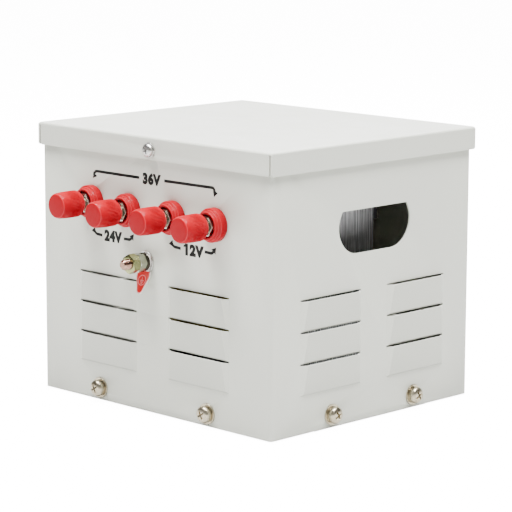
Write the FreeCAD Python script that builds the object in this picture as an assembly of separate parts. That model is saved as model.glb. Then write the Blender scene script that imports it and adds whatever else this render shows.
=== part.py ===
"""Lighting transformer in a louvred steel casing.

Millimetres. The origin is on the surface that the transformer stands on, under the middle of the
casing. +X is to the right, -Y to the front where the output posts are, +Z up.
"""
import os

import FreeCAD
import Part
from FreeCAD import Vector
from math import atan2, cos, degrees, pi, radians, sin

# Casing
case_width = 190.0
case_depth = 166.0
case_height = 160.6
case_sheet = 1.2
case_bend_radius = 1.0
ground_gap = 0.6

# Lid
lid_sheet = 1.2
lid_clearance = 0.6
lid_bend_radius = 0.5
lid_skirt = 13.4
lid_slit = 1.0
lid_corner_round = 1.5

# Base tray
base_sheet = 2.0
base_bend_radius = 1.0
base_floor_top = 16.6
side_tab_width = 94.0
front_tab_width = 118.0
tab_notch = 1.5
tray_edge_gap = 0.5

# Louvres, three blades to a column and two columns to a wall
louvre_width = 49.0
louvre_pitch = 18.0
louvre_rows = 3
louvre_bottom = 22.4
louvre_slit = 0.8
louvre_rise = 2.4
louvre_heel_rise = 1.0
louvre_heel_height = 0.9
louvre_cheek = 4.0
louvre_offset_front = 37.8
louvre_offset_side = 35.5

# Hand holes in the two sides, placed down from the top of the casing
hand_hole_width = 59.4
hand_hole_radius = 15.5
hand_hole_centre_drop = 47.9
hand_hole_top_drop = 38.7

# Base screws
base_screw_radius = 2.5
base_screw_length = 12.0
base_screw_height = 8.0
base_screw_offset_front = 45.0
base_screw_offset_side = 34.3
pan_side_share = 0.4
pan_crown_share = 0.72
base_screw_head_radius = 4.8
base_screw_head_height = 3.2
base_washer_radius = 6.0
base_washer_thickness = 1.0
base_spring_radius = 4.7
base_spring_thickness = 1.3
base_nut_flats = 8.0
base_nut_height = 4.0

# The split in every spring washer, and how far round it lies
spring_split = 1.0
spring_split_turn = 60

# Lid screws
lid_screw_radius = 2.0
lid_screw_length = 8.0
lid_screw_drop = 7.9
lid_screw_head_radius = 3.9
lid_screw_head_height = 2.4
lid_washer_radius = 4.5
lid_washer_thickness = 0.8
lid_nut_flats = 7.0
lid_nut_height = 3.2

# Laminated core: the tongue is two modules wide, windows and yokes are one, and it is five high
core_stack_depth = 60.0
core_seat = 3.0
core_head_room = 30.0

# Coil
bobbin_wall = 1.6
coil_fit = 0.3
bobbin_window_clearance = 0.5
primary_build = 7.8
insulation_build = 0.8
wrap_build = 0.8
winding_room = 3.6
winding_corner = 2.0

# Clamp angles and the bolts through the core
clamp_window_clearance = 0.2
clamp_foot = 26.0
clamp_sheet = 3.0
clamp_bend_radius = 1.5
core_bolt_radius = 3.0
core_bolt_spare = 4.0
foot_bolt_inset = 13.5
foot_bolt_reach = 14.0

# M6 hardware
m6_flats = 10.0
m6_nut_height = 5.0
m6_head_height = 4.0
m6_washer_radius = 6.0
m6_washer_thickness = 1.6

# Binding posts, placed down from the top of the casing
post_radius = 3.0
output_post_places = (-50.6, -18.9, 17.9, 51.6)
output_post_drops = (42.6, 44.2, 44.2, 44.4)
input_post_places = (-25.0, 25.0)
input_post_drops = (44.6, 44.6)
bush_flange_radius = 9.65
bush_flange_height = 4.7
bush_step_radius = 8.65
bush_step_height = 6.2
bush_nose_radius = 8.0
bush_nose_height = 7.8
bush_recess_radius = 6.7
bush_recess_floor = 6.4
bush_seat = 5.0
bush_spigot_radius = 5.8
bush_spigot_reach = 1.3
inner_bush_radius = 8.5
inner_bush_height = 3.5
collar_flats = 10.7
collar_top = 8.8
post_tip = 22.4
post_chamfer = 0.6
wire_hole_radius = 1.3
wire_hole_height = 10.3
clamp_washer_radius = 5.2
clamp_washer_thickness = 1.0
knob_backed_off = 1.8
knob_rear = 11.2
knob_front = 28.2
knob_radius = 7.75
knob_rear_radius = 6.3
knob_rear_taper = 2.0
knob_front_radius = 7.5
knob_nose = 2.0
knob_edge = 0.7
knob_face_radius = 6.4
insert_flats = 9.0
insert_length = 9.4
lug_thickness = 1.0
lug_radius = 5.5
lug_neck_width = 5.0
lug_barrel_radius = 2.4
lug_barrel_start = 8.0
lug_barrel_length = 6.0
lug_barrel_offset = 1.2
link_thickness = 1.5
link_width = 11.0
linked_posts = ("output_2", "output_3")

# Leads from the coil to the lugs
lead_radius = 1.8
lead_sides = 6
lead_bend_share = 0.4
lead_drop = 13.0
lead_step = 11.0
lead_run_in = 9.0
lead_gather = 0.66

# Earth bolt. Under the nuts the thread is drawn at the middle of its flanks, and elsewhere at its crests
earth_across = -4.6
earth_drop = 72.2
earth_radius = 3.0
engaged_thread_radius = 2.7
earth_tip = 18.8
earth_chamfer = 1.0
earth_flat_washer_radius = 6.2
earth_flat_washer_thickness = 1.2
earth_spring_radius = 5.4
earth_spring_thickness = 2.2
tag_thickness = 0.8
tag_eye_radius = 5.2
tag_length = 18.8
tag_width = 10.4
tag_tip_radius = 2.4
tag_bend_start = 5.6
tag_lean = 20.0
tag_neck_share = 0.7
tag_root_share = 0.92
tag_shoulder_share = 0.18

# Fits
running_fit = 0.05
thread_fit = 0.05
press_gap = 0.05
hole_fit = 0.3
bush_fit = 0.3
face_gap = 0.1
recess_fit = 0.4

# Small turned hardware is many-sided, so that so many pieces stay light. Its corners lie on the
# stated radius, and a bore's flats do, so that every stated clearance holds all round.
hardware_sides = 8
fit_sides = 12
moulding_sides = 20
corner_flats = 2

# Places worked out from the sizes above
half_width = case_width / 2
half_depth = case_depth / 2
lid_underside = case_height - lid_sheet
lid_screw_height = case_height - lid_screw_drop
hand_hole_centre = case_height - hand_hole_centre_drop
hand_hole_top = case_height - hand_hole_top_drop
earth_height = case_height - earth_drop
case_outer_radius = case_bend_radius + case_sheet
core_module = (case_height - core_head_room - base_floor_top - core_seat) / 5
core_width = 6 * core_module
core_height = 5 * core_module
core_bottom = base_floor_top + core_seat
core_top = core_bottom + core_height
window_bottom = core_bottom + core_module
window_top = core_top - core_module
stack_half = core_stack_depth / 2
clamp_leg = core_module + clamp_sheet - clamp_window_clearance
foot_bolt_offset_x = (core_width - core_module) / 2 - foot_bolt_inset
secondary_build = core_module - bobbin_wall - primary_build - insulation_build - wrap_build - winding_room
walls = {"front": (0, half_depth), "right": (90, half_width),
         "rear": (180, half_depth), "left": (270, half_width)}
posts = []
for wall_name, kind, places, drops in (("front", "output", output_post_places, output_post_drops),
                                       ("rear", "input", input_post_places, input_post_drops)):
    for number, (place, drop) in enumerate(zip(places, drops), start=1):
        posts.append((kind + "_" + str(number), wall_name, place, case_height - drop))


def box(x0, x1, y0, y1, z0, z1):
    """A block between two corners."""
    return Part.makeBox(x1 - x0, y1 - y0, z1 - z0, Vector(x0, y0, z0))


def prism(corners, z0, z1):
    """An upright block over a closed outline of (x, y) corners."""
    outline = Part.makePolygon([Vector(x, y, z0) for x, y in corners + corners[:1]])
    return Part.Face(outline).extrude(Vector(0, 0, z1 - z0))


def ring_of_corners(radius, sides, turn=0):
    """The corners of a regular outline, on a circle about Z."""
    angles = [radians(turn) + 2 * pi * i / sides for i in range(sides)]
    return [(radius * cos(a), radius * sin(a)) for a in angles]


def bar(radius, z0, z1, sides=hardware_sides):
    """A turned bar along Z, its corners on the radius."""
    return prism(ring_of_corners(radius, sides), z0, z1)


def bore(radius, z0, z1, sides=hardware_sides):
    """The cutter for a bore along Z, its flats on the radius."""
    return prism(ring_of_corners(radius / cos(pi / sides), sides), z0, z1)


def tapered_bar(low_radius, high_radius, z0, z1, sides=hardware_sides):
    """A turned bar along Z that tapers from one radius to another, with flat sides."""
    low = [Vector(x, y, z0) for x, y in ring_of_corners(low_radius, sides)]
    high = [Vector(x, y, z1) for x, y in ring_of_corners(high_radius, sides)]
    outlines = [low, high]
    for i in range(sides):
        outlines.append([low[i - 1], low[i], high[i], high[i - 1]])
    skin = Part.makeShell([Part.Face(Part.makePolygon(corners + corners[:1])) for corners in outlines])
    skin.sewShape()
    return Part.makeSolid(skin)


def tube(outer, inner, z0, z1, sides=hardware_sides):
    """A turned bar along Z with a bore."""
    return bar(outer, z0, z1, sides).cut(bore(inner, z0 - 1, z1 + 1, sides))


def turned(points):
    """A solid of revolution about Z from (radius, height) points."""
    outline = Part.makePolygon([Vector(r, 0, z) for r, z in points + points[:1]])
    return Part.Face(outline).revolve(Vector(0, 0, 0), Vector(0, 0, 1), 360)


def hexagon(flats, z0, z1, turn=0):
    """A hexagonal bar along Z. With turn 0 its corners point along X."""
    return prism(ring_of_corners(flats / 2 / cos(pi / 6), 6, turn), z0, z1)


def nut(flats, hole, z0, z1, turn=0):
    """A hexagonal nut along Z."""
    return hexagon(flats, z0, z1, turn).cut(bore(hole, z0 - 1, z1 + 1))


def bolt(radius, flats, head, seat, tip):
    """A hexagon-headed bolt along Z, head below the seat and shank up to the tip."""
    return hexagon(flats, seat - head, seat).fuse(bar(radius, seat, tip))


def pan_screw(radius, length, head_radius, head_height, seat):
    """A pan-headed screw along Z, its head above the seat and its shank below."""
    side = head_height * pan_side_share
    head = bar(head_radius, seat, seat + side, fit_sides)
    crown = tapered_bar(head_radius, head_radius * pan_crown_share, seat + side, seat + head_height,
                        fit_sides)
    return head.fuse([crown, bar(radius, seat - length, seat)])


def spring_washer(outer, inner, z0, z1):
    """A split ring along Z."""
    split = box(0, outer + 1, -spring_split / 2, spring_split / 2, z0 - 1, z1 + 1)
    split.rotate(Vector(0, 0, 0), Vector(0, 0, 1), spring_split_turn)
    return tube(outer, inner, z0, z1).cut(split)


def on_wall(shape, wall, across, up):
    """Place a shape that is drawn with Z outwards, X across and Y up onto a wall of the casing."""
    turn, distance = walls[wall]
    placed = shape.copy()
    placed.rotate(Vector(0, 0, 0), Vector(1, 0, 0), 90)
    placed.translate(Vector(across, -distance, up))
    placed.rotate(Vector(0, 0, 0), Vector(0, 0, 1), turn)
    return placed


def along_y(shape, x, y, z):
    """Turn a shape drawn along Z so that it runs towards +Y, and place it."""
    placed = shape.copy()
    placed.rotate(Vector(0, 0, 0), Vector(1, 0, 0), -90)
    placed.translate(Vector(x, y, z))
    return placed


def rounded_block(half_x, half_y, radius, z0, z1):
    """An upright block about Z with rounded corners."""
    block = box(-half_x, half_x, -half_y, half_y, z0, z1)
    upright = [edge for edge in block.Edges if abs(edge.Vertexes[0].Z - edge.Vertexes[1].Z) > (z1 - z0) / 2]
    return block.makeFillet(radius, upright)


def rounded_ring(half_x, half_y, radius, wall, z0, z1):
    """An upright rounded ring of even wall thickness, measured to its outside."""
    outer = rounded_block(half_x, half_y, radius, z0, z1)
    inner = rounded_block(half_x - wall, half_y - wall, radius - wall, z0 - 1, z1 + 1)
    return outer.cut(inner)


def eased_block(half_x, half_y, radius, z0, z1):
    """An upright block about Z whose corners are eased with flats."""
    corners = []
    for quarter, (side_x, side_y) in enumerate(((1, 1), (-1, 1), (-1, -1), (1, -1))):
        for i in range(corner_flats + 1):
            angle = (quarter + i / corner_flats) * pi / 2
            corners.append((side_x * (half_x - radius) + radius * cos(angle),
                            side_y * (half_y - radius) + radius * sin(angle)))
    return prism(corners, z0, z1)


def eased_ring(half_x, half_y, radius, wall, z0, z1):
    """An upright ring of even wall thickness with eased corners, measured to its outside."""
    outer = eased_block(half_x, half_y, radius, z0, z1)
    return outer.cut(eased_block(half_x - wall, half_y - wall, radius - wall, z0 - 1, z1 + 1))


def save(name, shape):
    """Write one piece, or one group of like pieces, as a STEP file."""
    shape.exportStep("parts/" + name + ".step")


def louvre_forms():
    """The pressed-out blade and the space behind it, drawn on a wall with Z outwards and Y up."""
    half = louvre_width / 2
    lip = louvre_pitch - louvre_slit
    crest_end = half - louvre_cheek

    def plan(floor, shift):
        """The blade's outline from above, lowered by shift and closed along floor."""
        crest = louvre_rise + shift
        points = [(-half, floor), (-half, shift), (-crest_end, crest), (crest_end, crest),
                  (half, shift), (half, floor), (-half, floor)]
        outline = Part.makePolygon([Vector(x, 0, z) for x, z in points])
        return Part.Face(outline).extrude(Vector(0, louvre_pitch, 0))

    def side(floor, shift):
        """The blade's outline from the side, lowered by shift and closed along floor."""
        points = [(0, floor), (0, shift), (louvre_heel_height, louvre_heel_rise + shift),
                  (lip, louvre_rise + shift), (lip, floor), (0, floor)]
        outline = Part.makePolygon([Vector(-half, y, z) for y, z in points])
        return Part.Face(outline).extrude(Vector(louvre_width, 0, 0))

    blade = plan(-case_sheet / 2, 0).common(side(-case_sheet / 2, 0))
    behind = -case_sheet - 1
    hollow = plan(behind, -case_sheet).common(side(behind, -case_sheet))
    slit = box(-half, half, lip, louvre_pitch, behind, louvre_rise)
    return blade, hollow.fuse(slit)


def hand_hole():
    """The cutter for a hand hole: an obround with its crown cut off flat."""
    reach = hand_hole_width / 2 - hand_hole_radius
    depth = 2 * case_sheet + 2
    low = -case_sheet * 2
    ends = [Part.makeCylinder(hand_hole_radius, depth, Vector(side * reach, 0, low)) for side in (-1, 1)]
    middle = box(-reach, reach, -hand_hole_radius, hand_hole_radius, low, low + depth)
    crown = hand_hole_top - hand_hole_centre
    above = box(-hand_hole_width, hand_hole_width, crown, hand_hole_width, low - 1, low + depth + 1)
    return middle.fuse(ends).removeSplitter().cut(above)


def wall_cut(radius):
    """A cutter for a round hole through a wall."""
    return bore(radius, -case_sheet - base_sheet - 2, case_sheet + 2)


def base_screw_spots():
    """The wall and the place along it of every base screw."""
    offsets = {"front": base_screw_offset_front, "rear": base_screw_offset_front,
               "right": base_screw_offset_side, "left": base_screw_offset_side}
    return [(wall, sign * offsets[wall]) for wall in walls for sign in (-1, 1)]


def make_case_wrap():
    """The folded sheet round all four sides."""
    wrap = rounded_ring(half_width, half_depth, case_outer_radius, case_sheet, ground_gap, lid_underside)
    blade, hollow = louvre_forms()
    blades = []
    hollows = []
    for wall in walls:
        offset = louvre_offset_front if wall in ("front", "rear") else louvre_offset_side
        for across in (-offset, offset):
            for row in range(louvre_rows):
                low = louvre_bottom + row * louvre_pitch
                blades.append(on_wall(blade, wall, across, low))
                hollows.append(on_wall(hollow, wall, across, low))
    holes = [on_wall(hand_hole(), wall, 0, hand_hole_centre) for wall in ("left", "right")]
    holes += [on_wall(wall_cut(base_screw_radius + hole_fit), wall, across, base_screw_height)
              for wall, across in base_screw_spots()]
    holes += [on_wall(wall_cut(lid_screw_radius + hole_fit), wall, 0, lid_screw_height)
              for wall in ("front", "rear")]
    holes += [on_wall(wall_cut(bush_spigot_radius + bush_fit), wall, across, height)
              for name, wall, across, height in posts]
    holes.append(on_wall(wall_cut(earth_radius + hole_fit), "front", earth_across, earth_height))
    return wrap.fuse(blades).cut(hollows + holes)


def make_lid():
    """The folded lid, with its corners left open as narrow slits in the front and rear skirts."""
    half_x = half_width + lid_clearance + lid_sheet
    half_y = half_depth + lid_clearance + lid_sheet
    low = lid_underside + lid_sheet - lid_skirt
    outer = box(-half_x, half_x, -half_y, half_y, low, case_height)
    top_edges = [edge for edge in outer.Edges if min(v.Z for v in edge.Vertexes) > case_height - 0.01]
    outer = outer.makeFillet(lid_bend_radius + lid_sheet, top_edges)
    inner = box(-half_x + lid_sheet, half_x - lid_sheet, -half_y + lid_sheet, half_y - lid_sheet,
                low - 1, lid_underside)
    inner_edges = [edge for edge in inner.Edges if min(v.Z for v in edge.Vertexes) > lid_underside - 0.01]
    inner = inner.makeFillet(lid_bend_radius, inner_edges)
    lid = outer.cut(inner)
    slit_top = case_height - lid_bend_radius - lid_sheet
    cuts = []
    for side in (-1, 1):
        for end in (-1, 1):
            x_edge = side * (half_x - lid_sheet)
            x_inner = x_edge - side * lid_slit
            y_edge = end * (half_y + 1)
            y_inner = end * (half_y - lid_sheet - 0.5)
            cuts.append(box(min(x_edge, x_inner), max(x_edge, x_inner),
                            min(y_edge, y_inner), max(y_edge, y_inner), low - 1, slit_top))
    cuts += [on_wall(bore(lid_screw_radius + hole_fit, -1, lid_clearance + lid_sheet + 1), wall, 0,
                     lid_screw_height) for wall in ("front", "rear")]
    return round_skirt_corners(lid.cut(cuts), half_x, half_y, low)


def round_skirt_corners(lid, half_x, half_y, low):
    """Round the lower corners of the four skirts."""
    cuts = []
    reach = lid_corner_round
    front_end = half_x - lid_sheet - lid_slit
    for turn, across, out in ((0, front_end, half_y), (180, front_end, half_y),
                              (90, half_y, half_x), (270, half_y, half_x)):
        for side in (-1, 1):
            corner = box(across - reach, across + 1, -out - 1, -out + lid_sheet + 0.5, low - 1, low + reach)
            bar = Part.makeCylinder(reach, lid_sheet + 3, Vector(across - reach, -out - 2, low + reach),
                                    Vector(0, 1, 0))
            cutter = corner.cut(bar)
            if side < 0:
                cutter = cutter.mirror(Vector(0, 0, 0), Vector(1, 0, 0))
            cutter.rotate(Vector(0, 0, 0), Vector(0, 0, 1), turn)
            cuts.append(cutter)
    return lid.cut(cuts)


def turned_down_tab(out, width, low):
    """One tab of the tray, bent down from the floor, its outer face at Y = -out."""
    outer_radius = base_bend_radius + base_sheet
    bend_y = -out + outer_radius
    bend_z = base_floor_top - outer_radius
    slant = cos(pi / 4)

    def bend(radius, reverse):
        """The quarter arc of the bend, from the tab up to the floor or back."""
        ends = [Vector(0, bend_y - radius, bend_z), Vector(0, bend_y, bend_z + radius)]
        middle = Vector(0, bend_y - radius * slant, bend_z + radius * slant)
        if reverse:
            ends.reverse()
        return Part.Arc(ends[0], middle, ends[1]).toShape()

    edges = [Part.makeLine(Vector(0, -out, low), Vector(0, -out, bend_z)),
             bend(outer_radius, False),
             Part.makeLine(Vector(0, bend_y, base_floor_top),
                           Vector(0, bend_y, base_floor_top - base_sheet)),
             bend(base_bend_radius, True),
             Part.makeLine(Vector(0, -out + base_sheet, bend_z), Vector(0, -out + base_sheet, low)),
             Part.makeLine(Vector(0, -out + base_sheet, low), Vector(0, -out, low))]
    tab = Part.Face(Part.Wire(edges)).extrude(Vector(width, 0, 0))
    tab.translate(Vector(-width / 2, 0, 0))
    return tab


def make_base_tray():
    """The raised floor with a tab turned down at each side for the casing's screws."""
    plate_x = half_width - case_sheet
    plate_y = half_depth - case_sheet
    bend = base_bend_radius + base_sheet
    floor_low = base_floor_top - base_sheet
    reach_x = plate_x - tray_edge_gap
    reach_y = plate_y - tray_edge_gap
    tray = box(-reach_x, reach_x, -reach_y, reach_y, floor_low, base_floor_top)
    strips = []
    tabs = []
    for turn, out, width, low in ((0, plate_y, front_tab_width, ground_gap),
                                  (180, plate_y, front_tab_width, ground_gap),
                                  (90, plate_x, side_tab_width, 0.0),
                                  (270, plate_x, side_tab_width, 0.0)):
        strip = box(-width / 2 - tab_notch, width / 2 + tab_notch, -out - 1, -out + bend,
                    floor_low - 1, base_floor_top + 1)
        tab = turned_down_tab(out, width, low)
        for shape, group in ((strip, strips), (tab, tabs)):
            shape.rotate(Vector(0, 0, 0), Vector(0, 0, 1), turn)
            group.append(shape)
    tray = tray.cut(strips)
    tray = tray.fuse(tabs).removeSplitter()
    holes = [on_wall(wall_cut(base_screw_radius + hole_fit), wall, across, base_screw_height)
             for wall, across in base_screw_spots()]
    for x, y in foot_bolt_spots():
        hole = bore(core_bolt_radius + hole_fit, floor_low - 1, base_floor_top + 1)
        hole.translate(Vector(x, y, 0))
        holes.append(hole)
    return tray.cut(holes)


def foot_bolt_spots():
    """Where the foot bolts pass through the lower clamp angles and the floor."""
    y = stack_half + foot_bolt_reach
    return [(x, side * y) for x in (-foot_bolt_offset_x, foot_bolt_offset_x) for side in (-1, 1)]


def core_bolt_spots():
    """Where the core bolts pass through the corners of the core."""
    x = core_width / 2 - core_module / 2
    low = core_bottom + core_module / 2
    high = core_top - core_module / 2
    return [(side * x, z) for side in (-1, 1) for z in (low, high)]


def make_core():
    """The stack of E and I laminations, with its two windows and four bolt holes."""
    half = core_width / 2
    core = box(-half, half, -stack_half, stack_half, core_bottom, core_top)
    window = core_module
    cuts = []
    for side in (-1, 1):
        near = side * core_module
        far = side * (core_module + window)
        cuts.append(box(min(near, far), max(near, far), -stack_half - 1, stack_half + 1,
                        window_bottom, window_top))
    for x, z in core_bolt_spots():
        cuts.append(along_y(bore(core_bolt_radius + hole_fit, -1, core_stack_depth + 1), x, -stack_half, z))
    return core.cut(cuts)


def coil_layer(gap_inside, build, radius):
    """One layer of the coil round the tongue, gap_inside away from the tongue all round."""
    low = window_bottom + coil_fit + bobbin_wall + coil_fit
    high = window_top - coil_fit - bobbin_wall - coil_fit
    half_x = core_module + gap_inside + build
    half_y = stack_half + gap_inside + build
    return eased_ring(half_x, half_y, radius, build, low, high)


def make_coil():
    """The bobbin, the two windings with insulation between, the outer wrap, and how far out it comes."""
    bobbin_half_x = core_module + coil_fit + bobbin_wall
    bobbin_half_y = stack_half + coil_fit + bobbin_wall
    low = window_bottom + coil_fit
    high = window_top - coil_fit
    flange_x = 2 * core_module - bobbin_window_clearance
    flange_y = stack_half + core_module - bobbin_window_clearance
    barrel = eased_block(bobbin_half_x, bobbin_half_y, winding_corner - coil_fit, low, high)
    flanges = [eased_block(flange_x, flange_y, winding_corner, z, z + bobbin_wall)
               for z in (low, high - bobbin_wall)]
    inside = box(-core_module - coil_fit, core_module + coil_fit, -stack_half - coil_fit,
                 stack_half + coil_fit, low - 1, high + 1)
    bobbin = barrel.fuse(flanges).cut(inside).removeSplitter()
    primary_gap = 2 * coil_fit + bobbin_wall
    insulation_gap = primary_gap + primary_build + coil_fit
    secondary_gap = insulation_gap + insulation_build + coil_fit
    wrap_gap = secondary_gap + secondary_build + coil_fit
    layers = {"primary_winding": (primary_gap, primary_build),
              "winding_insulation": (insulation_gap, insulation_build),
              "secondary_winding": (secondary_gap, secondary_build),
              "coil_wrap": (wrap_gap, wrap_build)}
    pieces = {"coil_bobbin": bobbin}
    for name, (gap, build) in layers.items():
        pieces[name] = coil_layer(gap, build, winding_corner + gap - primary_gap + build)
    coil_face = stack_half + wrap_gap + wrap_build
    return pieces, coil_face


def clamp_angle(turn, upside_down):
    """An angle along one face of a yoke, its foot turned away from the core."""
    half = core_width / 2
    foot_low = base_floor_top
    upright = box(-half, half, -stack_half - clamp_sheet, -stack_half, foot_low, foot_low + clamp_leg)
    foot = box(-half, half, -stack_half - clamp_foot, -stack_half, foot_low, foot_low + clamp_sheet)
    angle = upright.fuse(foot).removeSplitter()
    heel = [edge for edge in angle.Edges
            if all(abs(v.Y + stack_half) < 0.01 and abs(v.Z - foot_low) < 0.01 for v in edge.Vertexes)]
    angle = angle.makeFillet(clamp_bend_radius + clamp_sheet / 2, heel)
    x = core_width / 2 - core_module / 2
    holes = [along_y(bore(core_bolt_radius + hole_fit, -1, clamp_sheet + 1), side * x,
                     -stack_half - clamp_sheet, core_bottom + core_module / 2) for side in (-1, 1)]
    if not upside_down:
        for side in (-1, 1):
            hole = bore(core_bolt_radius + hole_fit, foot_low - 1, foot_low + clamp_sheet + 1)
            hole.translate(Vector(side * foot_bolt_offset_x, -stack_half - foot_bolt_reach, 0))
            holes.append(hole)
    angle = angle.cut(holes)
    if upside_down:
        angle = angle.mirror(Vector(0, 0, (core_bottom + core_top) / 2), Vector(0, 0, 1))
    angle.rotate(Vector(0, 0, 0), Vector(0, 0, 1), turn)
    return angle


def core_hardware():
    """Bolts, washers and nuts through the core and through the feet."""
    face = stack_half + clamp_sheet
    bolts = []
    washers = []
    nuts = []
    for x, z in core_bolt_spots():
        length = 2 * face + 2 * m6_washer_thickness + m6_nut_height + core_bolt_spare
        seat = -face - m6_washer_thickness
        bolts.append(along_y(bolt(core_bolt_radius, m6_flats, m6_head_height, 0, length), x, seat, z))
        washer = tube(m6_washer_radius, core_bolt_radius + hole_fit, 0, m6_washer_thickness)
        washers.append(along_y(washer, x, seat, z))
        washers.append(along_y(washer, x, face, z))
        nuts.append(along_y(nut(m6_flats, core_bolt_radius + thread_fit, 0, m6_nut_height), x,
                            face + m6_washer_thickness, z))
    foot_bolts = []
    foot_washers = []
    foot_nuts = []
    for x, y in foot_bolt_spots():
        foot_top = base_floor_top + clamp_sheet
        tip = foot_top + m6_washer_thickness + m6_nut_height + core_bolt_spare / 2
        foot_bolt = bolt(core_bolt_radius, m6_flats, m6_head_height, base_floor_top - base_sheet, tip)
        foot_washer = tube(m6_washer_radius, core_bolt_radius + hole_fit, foot_top,
                           foot_top + m6_washer_thickness)
        foot_nut = nut(m6_flats, core_bolt_radius + thread_fit, foot_top + m6_washer_thickness,
                       foot_top + m6_washer_thickness + m6_nut_height)
        for group, piece in ((foot_bolts, foot_bolt), (foot_washers, foot_washer), (foot_nuts, foot_nut)):
            piece.translate(Vector(x, y, 0))
            group.append(piece)
    return bolts, washers, nuts, foot_bolts, foot_washers, foot_nuts


def make_base_hardware():
    """Screws, washers and weld nuts that hold the casing to the tray."""
    spring_low = base_washer_thickness
    seat = spring_low + base_spring_thickness
    screw = pan_screw(base_screw_radius, base_screw_length, base_screw_head_radius,
                      base_screw_head_height, seat)
    flat = tube(base_washer_radius, base_screw_radius + hole_fit, 0, base_washer_thickness)
    spring = spring_washer(base_spring_radius, base_screw_radius + hole_fit, spring_low, seat)
    inner_face = -case_sheet - base_sheet
    weld_nut = nut(base_nut_flats, base_screw_radius + thread_fit, inner_face - base_nut_height, inner_face)
    pieces = {"base_screws": screw, "base_flat_washers": flat, "base_spring_washers": spring,
              "base_weld_nuts": weld_nut}
    return {name: [on_wall(piece, wall, across, base_screw_height) for wall, across in base_screw_spots()]
            for name, piece in pieces.items()}


def make_lid_hardware():
    """Screws, washers and weld nuts that hold the lid to the casing."""
    skirt_face = lid_clearance + lid_sheet
    seat = skirt_face + lid_washer_thickness
    screw = pan_screw(lid_screw_radius, lid_screw_length, lid_screw_head_radius, lid_screw_head_height, seat)
    flat = tube(lid_washer_radius, lid_screw_radius + hole_fit, skirt_face, seat)
    weld_nut = nut(lid_nut_flats, lid_screw_radius + thread_fit, -case_sheet - lid_nut_height, -case_sheet)
    pieces = {"lid_screws": screw, "lid_washers": flat, "lid_weld_nuts": weld_nut}
    return {name: [on_wall(piece, wall, 0, lid_screw_height) for wall in ("front", "rear")]
            for name, piece in pieces.items()}


def outer_bush():
    """The moulded bush outside the wall: flange, two steps, a spigot, and a recess for the collar.

    The recess is round at its mouth and hexagonal below, which keeps the stud from turning.
    """
    spigot_end = -case_sheet - bush_spigot_reach
    steps = [(bush_flange_radius, 0, bush_flange_height),
             (bush_step_radius, bush_flange_height, bush_step_height),
             (bush_nose_radius, bush_step_height, bush_nose_height)]
    spigot = bar(bush_spigot_radius, spigot_end, 0)
    body = spigot.fuse([bar(radius, low, high, moulding_sides) for radius, low, high in steps])
    body = body.cut(bore(post_radius + bush_fit, spigot_end - 1, bush_nose_height + 1))
    body = body.cut(bore(bush_recess_radius, bush_recess_floor, bush_nose_height + 1, moulding_sides))
    return body.cut(hexagon(collar_flats + 2 * recess_fit, bush_seat, bush_recess_floor + face_gap))


def inner_bush():
    """The bush inside the wall, bored out to take the outer bush's spigot."""
    top = -case_sheet
    low = top - inner_bush_height
    shoulder = top - bush_spigot_reach - bush_fit
    body = bar(inner_bush_radius, low, top)
    body = body.cut(bore(post_radius + bush_fit, low - 1, top + 1))
    return body.cut(bore(bush_spigot_radius + bush_fit, shoulder, top + 1))


def stack_levels(linked):
    """Heights of the faces of the washer, nut, link, lug and lug nut inside the wall."""
    washer = -case_sheet - inner_bush_height
    first_nut = washer - m6_washer_thickness
    link = first_nut - m6_nut_height
    lug = link - (link_thickness if linked else 0)
    last_nut = lug - lug_thickness
    return washer, first_nut, link, lug, last_nut, last_nut - m6_nut_height


def post_stud(linked):
    """The threaded stud with its hexagonal collar and the cross hole for a wire."""
    end = stack_levels(linked)[-1] - core_bolt_spare / 2
    rod = bar(post_radius, end, post_tip - post_chamfer, fit_sides)
    point = tapered_bar(post_radius, post_radius - post_chamfer, post_tip - post_chamfer, post_tip,
                        fit_sides)
    collar = hexagon(collar_flats, bush_seat, collar_top - post_chamfer)
    corner = collar_flats / 2 / cos(pi / 6)
    rim = tapered_bar(corner, corner - post_chamfer, collar_top - post_chamfer, collar_top, 6)
    hole = along_y(bar(wire_hole_radius, 0, 4 * post_radius), 0, -2 * post_radius, wire_hole_height)
    return rod.fuse([point, collar, rim]).cut(hole)


def clamp_washer():
    """The washer held in the knob's rear face, which presses on the wire without turning."""
    low = collar_top + face_gap + knob_backed_off
    return tube(clamp_washer_radius, post_radius + running_fit, low, low + clamp_washer_thickness, fit_sides)


def knob_and_insert():
    """The knob and the hexagonal threaded insert moulded into it."""
    recess = collar_top + 2 * face_gap + knob_backed_off + clamp_washer_thickness
    insert_end = recess + insert_length
    outline = [(knob_rear, knob_rear_radius), (knob_rear + knob_rear_taper, knob_radius),
               (knob_front - knob_nose, knob_front_radius),
               (knob_front - knob_edge, knob_face_radius + knob_edge), (knob_front, knob_face_radius)]
    rings = [tapered_bar(low_radius, high_radius, low, high, moulding_sides)
             for (low, low_radius), (high, high_radius) in zip(outline, outline[1:])]
    body = rings[0].fuse(rings[1:])
    body = body.cut(bore(clamp_washer_radius + bush_fit, knob_rear - 1, recess, fit_sides))
    body = body.cut(hexagon(insert_flats + 2 * press_gap, recess - 1, insert_end))
    tip_room = post_tip + knob_backed_off + bush_fit
    body = body.cut(bore(post_radius + running_fit, insert_end - 1, tip_room, fit_sides))
    insert = hexagon(insert_flats, recess, insert_end)
    return body, insert.cut(bore(post_radius + running_fit, recess - 1, insert_end + 1, fit_sides))


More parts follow.
